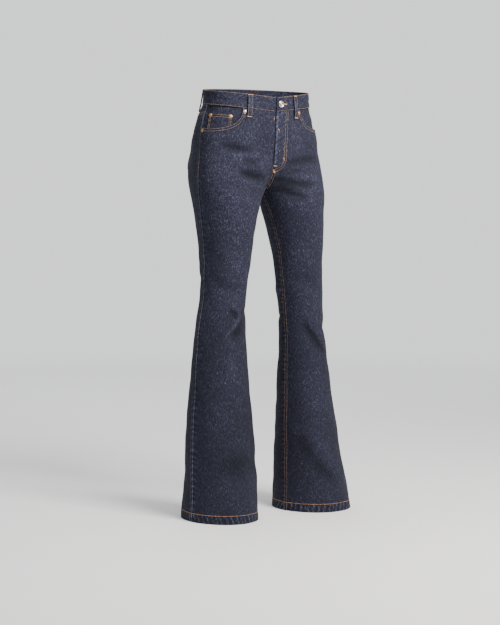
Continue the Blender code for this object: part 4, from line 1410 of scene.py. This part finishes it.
sew("stitches_inseams", inseam_rows, brown_thread)
sew("stitches_seams", seam_rows + fly_rows, tan_thread)
sew("stitches_side_seams", side_rows, slate_thread)
sew("stitches_hems", hem_rows, orange_thread)
sew("stitches_pockets", mouth_rows + patch_rows + coin_rows, tan_thread)
sew("stitches_waistband", band_rows, tan_thread)
sew("stitches_loops", loop_rows + mouth_edge_rows, grey_thread)

# %% [markdown]
# ## Bartacks and the buttonhole
#
# Where a seam takes strain the maker sews a bartack, a bar of tight stitches side by side. A
# buttonhole is the same thing bent round a slot. Both use the same bead of thread as the rows, laid
# across the bar instead of along it, and packed closer than their own width.

# %% Tables of the bartacks
TACK_PITCH = 0.0008
TACK_SIZE = (0.010, 0.0026)
LOOP_TACK_SIZE = (0.85 * LOOP_WIDTH, 0.0024)
FLY_QUARTER, FRONT_QUARTER = 0.235, 0.200
BUTTON_SHARE = 0.938
BUTTON_HEIGHT = float(waist_seam(BUTTON_SHARE)) + BAND_HEIGHT / 2

# Single bars near the centre front: how far they lie from it, the length of cloth from there to the
# side seam, their height, their tilt in degrees, and their size.
TACK_COLUMNS = ("side", "inset", "quarter", "height", "tilt", "length", "width")
TACKS = (
    (LEFT, 0.030, FLY_QUARTER, FLY_BOTTOM + 0.023, 80, 0.007, 0.0024),
    (LEFT, 0.005, FLY_QUARTER, FLY_BOTTOM + 0.006, 5, 0.008, 0.0024),
    (LEFT, 0.004, FLY_QUARTER, FLY_BOTTOM - 0.008, 70, 0.008, 0.0040),
    (LEFT, 0.007, FRONT_QUARTER, 0.9715, 70, 0.006, 0.0022),
    (RIGHT, 0.004, FRONT_QUARTER, 0.999, 90, 0.006, 0.0024),
)

# The buttonhole's bars: how far they lie from the button, outwards and up.
HOLE_COLUMNS = ("out", "up", "tilt", "length", "width")
HOLE_BARS = (
    (0.0070, -0.0009, 0, 0.0210, 0.0017),
    (0.0070, 0.0009, 0, 0.0210, 0.0017),
    (0.0175, 0.0, 90, 0.0035, 0.0020),
)
print(len(TACKS), "bars near the fly and", len(HOLE_BARS), "round the buttonhole")


# %% Bartacks
def around_direction(side, share, height, lift):
    """Centre of a spot on the cloth with its directions around, up and out."""
    shares = share + np.array([-0.005, 0.0, 0.005])
    points = surface(np.full(3, side), shares, np.full(3, height), lift)[0]
    out = outward(np.array([side]), np.array([share]), np.array([height]))[0]
    around = points[2] - points[0]
    around = around / np.linalg.norm(around)
    up = np.cross(out, around)
    return points[1], around, up * np.sign(up[2]), out


def bar(side, share, height, lift, angle, length, width):
    """The stitches of one bar: centres, directions along each stitch, out of the cloth, and sizes."""
    centre, around, up, out = around_direction(side, share, height, lift)
    run = around * cos(angle) + up * sin(angle)
    stitch = np.cross(out, run)
    count = max(int(length / TACK_PITCH), 2)
    offsets = np.linspace(-length / 2, length / 2, count)
    centres = centre + offsets[:, None] * run + out * THREAD_HEIGHT * 0.3
    sizes = np.tile([width, THREAD_WIDTH, THREAD_HEIGHT * 1.3], (count, 1))
    return centres, np.tile(stitch, (count, 1)), np.tile(out, (count, 1)), sizes


tacks = []
for turn in LOOP_TURNS.values():
    for row in (0.035, 0.965):
        side, share, height, lift = loop_place(turn)(np.array([0.0]), np.array([row]))
        tacks.append(bar(int(side[0]), share[0], height[0], lift[0], 0.0, *LOOP_TACK_SIZE))
for row in TACKS:
    tack = dict(zip(TACK_COLUMNS, row))
    share = 1.0 - tack["inset"] / tack["quarter"]
    tilt = radians(tack["tilt"])
    tacks.append(bar(tack["side"], share, tack["height"], 0.0, tilt, tack["length"], tack["width"]))
for side in (RIGHT, LEFT):
    for column in (-0.93, 0.93):
        share, height, lift = back_pocket_place(side)(np.array([column]), np.array([0.955]))[1:]
        tacks.append(bar(side, share[0], height[0], lift, pi / 2, *TACK_SIZE))
for row in HOLE_BARS:
    hole = dict(zip(HOLE_COLUMNS, row))
    share, height = BUTTON_SHARE - hole["out"] / WAIST_QUARTER, BUTTON_HEIGHT + hole["up"]
    tilt = radians(hole["tilt"])
    tacks.append(bar(LEFT, share, height, BAND_OUTER + BAND_PUFF, tilt, hole["length"], hole["width"]))
centres, along, out, sizes = (np.concatenate(values) for values in zip(*tacks))
add_stitches("stitches_bartacks", centres, along, out, sizes, orange_thread)
print(len(tacks), "bars of", len(centres), "stitches")

# %% [markdown]
# ## Button and rivets
#
# Jeans close with a stamped metal button on a shank, and rivets hold the pocket corners. Both are
# turned shapes: half of the cross-section is drawn once and spun round its axis. The button's face is
# a plain dish with a small raised ring. Nickel plating is pale and neutral, and copper plating warmer.

# %% Metal finishes
MOTTLES_PER_METRE = 900.0
MOTTLE_DEPTH = 0.0002


def plated_metal(name, colours, roughness):
    """Plated steel, tumbled to a satin finish: slightly uneven in colour and gloss."""
    material, tree = new_material(name)
    place = add_node(tree, "ShaderNodeTexCoord").outputs["Object"]
    noise = add_node(
        tree, "ShaderNodeTexNoise", {"Vector": place, "Scale": MOTTLES_PER_METRE, "Detail": 3.0},
    )
    ramp = add_node(tree, "ShaderNodeValToRGB", {"Fac": noise.outputs["Fac"]})
    ramp.color_ramp.elements[0].position = 0.3
    ramp.color_ramp.elements[0].color = linear(colours[0])
    ramp.color_ramp.elements[1].position = 0.7
    ramp.color_ramp.elements[1].color = linear(colours[1])
    gloss = add_node(
        tree, "ShaderNodeMapRange",
        {"Value": noise.outputs["Fac"], "To Min": roughness - 0.08, "To Max": roughness + 0.1},
    )
    bump = add_node(
        tree, "ShaderNodeBump",
        {"Height": noise.outputs["Fac"], "Strength": 0.15, "Distance": MOTTLE_DEPTH},
    )
    shader = add_node(
        tree, "ShaderNodeBsdfPrincipled",
        {"Base Color": ramp.outputs["Color"], "Metallic": 1.0, "Roughness": gloss.outputs["Result"],
         "Normal": bump.outputs["Normal"]},
    )
    add_node(tree, "ShaderNodeOutputMaterial", {"Surface": shader.outputs["BSDF"]})
    return material


nickel = plated_metal("nickel_plated_steel", ("b9b2a8", "efe8df"), 0.28)
copper = plated_metal("copper_plated_steel", ("c9a27e", "f4d9ba"), 0.30)
red_copper = plated_metal("solid_copper", ("c88a52", "f4bd84"), 0.35)

# %% Turned pieces
TURN_STEPS = 40


def add_turned(node, profile, side, share, height, lift, finish):
    """Spins a profile (radius and height, from the top down) and stands it on the cloth."""
    bm = bmesh.new()
    verts = [bm.verts.new((radius, 0.0, level)) for radius, level in profile]
    for upper, lower in zip(verts, verts[1:]):
        bm.edges.new((upper, lower))
    bmesh.ops.spin(
        bm, geom=bm.verts[:] + bm.edges[:], axis=(0, 0, 1), cent=(0, 0, 0),
        steps=TURN_STEPS, angle=2 * pi, use_merge=True,
    )
    bmesh.ops.remove_doubles(bm, verts=bm.verts, dist=0.00001)
    bmesh.ops.recalc_face_normals(bm, faces=bm.faces)
    point, around, up, out = around_direction(side, share, height, lift)
    frame_columns = Matrix((np.cross(up, out), up, out)).transposed().to_4x4()
    bmesh.ops.transform(bm, matrix=Matrix.Translation(point) @ frame_columns, verts=bm.verts)
    for face in bm.faces:
        face.smooth = True
    mesh = bpy.data.meshes.new(f"metal_{node}")
    bm.to_mesh(mesh)
    bm.free()
    mesh.materials.append(finish)
    mesh.set_sharp_from_angle(angle=radians(50))
    return as_piece(f"metal_{node}", mesh, node)


print("turned pieces have", TURN_STEPS, "steps round")

# %% Button and rivets
BUTTON_RADIUS = 0.0085
BUTTON_RISE = 0.0036
SHANK_RADIUS = 0.0025
SHANK_LENGTH = 2 * LAP
RIVET_RADIUS = 0.0047
RIVET_RISE = 0.0014
BUTTON_PROFILE = (
    (0.00, 0.74), (0.20, 0.74), (0.24, 0.80), (0.32, 0.80), (0.36, 0.72),
    (0.62, 0.72), (0.68, 0.86), (0.74, 0.97), (0.82, 1.00), (0.90, 0.94),
    (0.97, 0.76), (1.00, 0.50), (0.97, 0.22), (0.88, 0.05), (0.80, 0.00),
)
RIVET_PROFILE = (
    (0.00, 1.00), (0.16, 0.98), (0.28, 0.90), (0.36, 0.66), (0.42, 0.56), (0.62, 0.60),
    (0.80, 0.56), (0.93, 0.36), (1.00, 0.10), (1.00, 0.00), (0.00, 0.00),
)
button_profile = [(radius * BUTTON_RADIUS, level * BUTTON_RISE) for radius, level in BUTTON_PROFILE]
button_profile += [(SHANK_RADIUS, 0.0), (SHANK_RADIUS, -SHANK_LENGTH), (0.0, -SHANK_LENGTH)]
rivet_profile = [(radius * RIVET_RADIUS, level * RIVET_RISE) for radius, level in RIVET_PROFILE]
add_turned(
    "waist_button", button_profile, LEFT, BUTTON_SHARE, BUTTON_HEIGHT,
    BAND_OUTER + LAYER_GAP, nickel,
)

RIVET_COLUMNS = ("name", "side", "share", "below_waist_seam", "lift")
RIVETS = (
    ("rivet_mouth_right", RIGHT, MOUTH_SHARES[RIGHT] + 0.028, 0.009, 0.0),
    ("rivet_mouth_left", LEFT, MOUTH_SHARES[LEFT] + 0.028, 0.009, 0.0),
    ("rivet_side_right", RIGHT, 0.030, MOUTH_DEPTH + 0.007, 0.0),
    ("rivet_side_left", LEFT, 0.030, MOUTH_DEPTH + 0.007, 0.0),
    ("rivet_coin_outer", RIGHT, COIN_SHARES[0] + 0.028, COIN_TOP + 0.006, -COIN_SINK),
    ("rivet_coin_inner", RIGHT, COIN_SHARES[1] - 0.028, COIN_TOP + 0.006, -COIN_SINK),
)
for row in RIVETS:
    rivet = dict(zip(RIVET_COLUMNS, row))
    level = float(waist_seam(rivet["share"])) - rivet["below_waist_seam"]
    metal = copper if rivet["name"] == "rivet_mouth_right" else red_copper
    add_turned(
        rivet["name"], rivet_profile, rivet["side"], rivet["share"], level,
        rivet["lift"] + LAYER_GAP, metal,
    )
print("button and", len(RIVETS), "rivets")

# %% [markdown]
# ## What each sheet was cut from
#
# Each cloth piece's flat cut is measured, and its size and area are printed. The area is measured on the
# sheet itself before it gets its thickness.

HELD = {
    "front_right": ("hung", ["waistband"]), "front_left": ("hung", ["waistband"]),
    "back_right": ("hung", ["yoke_right"]), "back_left": ("hung", ["yoke_left"]),
    "yoke_right": ("hung", ["waistband"]), "yoke_left": ("hung", ["waistband"]),
    "waistband": ("stretched", []),
    "hip_facing_right": ("hung", ["waistband"]), "hip_facing_left": ("hung", ["waistband"]),
    "coin_pocket": ("laid", ["hip_facing_right"]),
    "back_pocket_right": ("laid", ["back_right"]), "back_pocket_left": ("laid", ["back_left"]),
    "fly_shield": ("hung", ["waistband"]),
    "hem_right": ("folded", ["front_right", "back_right"]),
    "hem_left": ("folded", ["front_left", "back_left"]),
}
for node, (piece, cut) in CLOTH_PIECES.items():
    held, rests_on = HELD.get(node, ("stretched", ["waistband"]))
    area = min(sum(face.area for face in piece.data.polygons), cut[0] * cut[1])
    tuple(cut)
    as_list(rests_on)
    print(node, "cut", [round(v, 3) for v in cut], "area", round(area, 4))
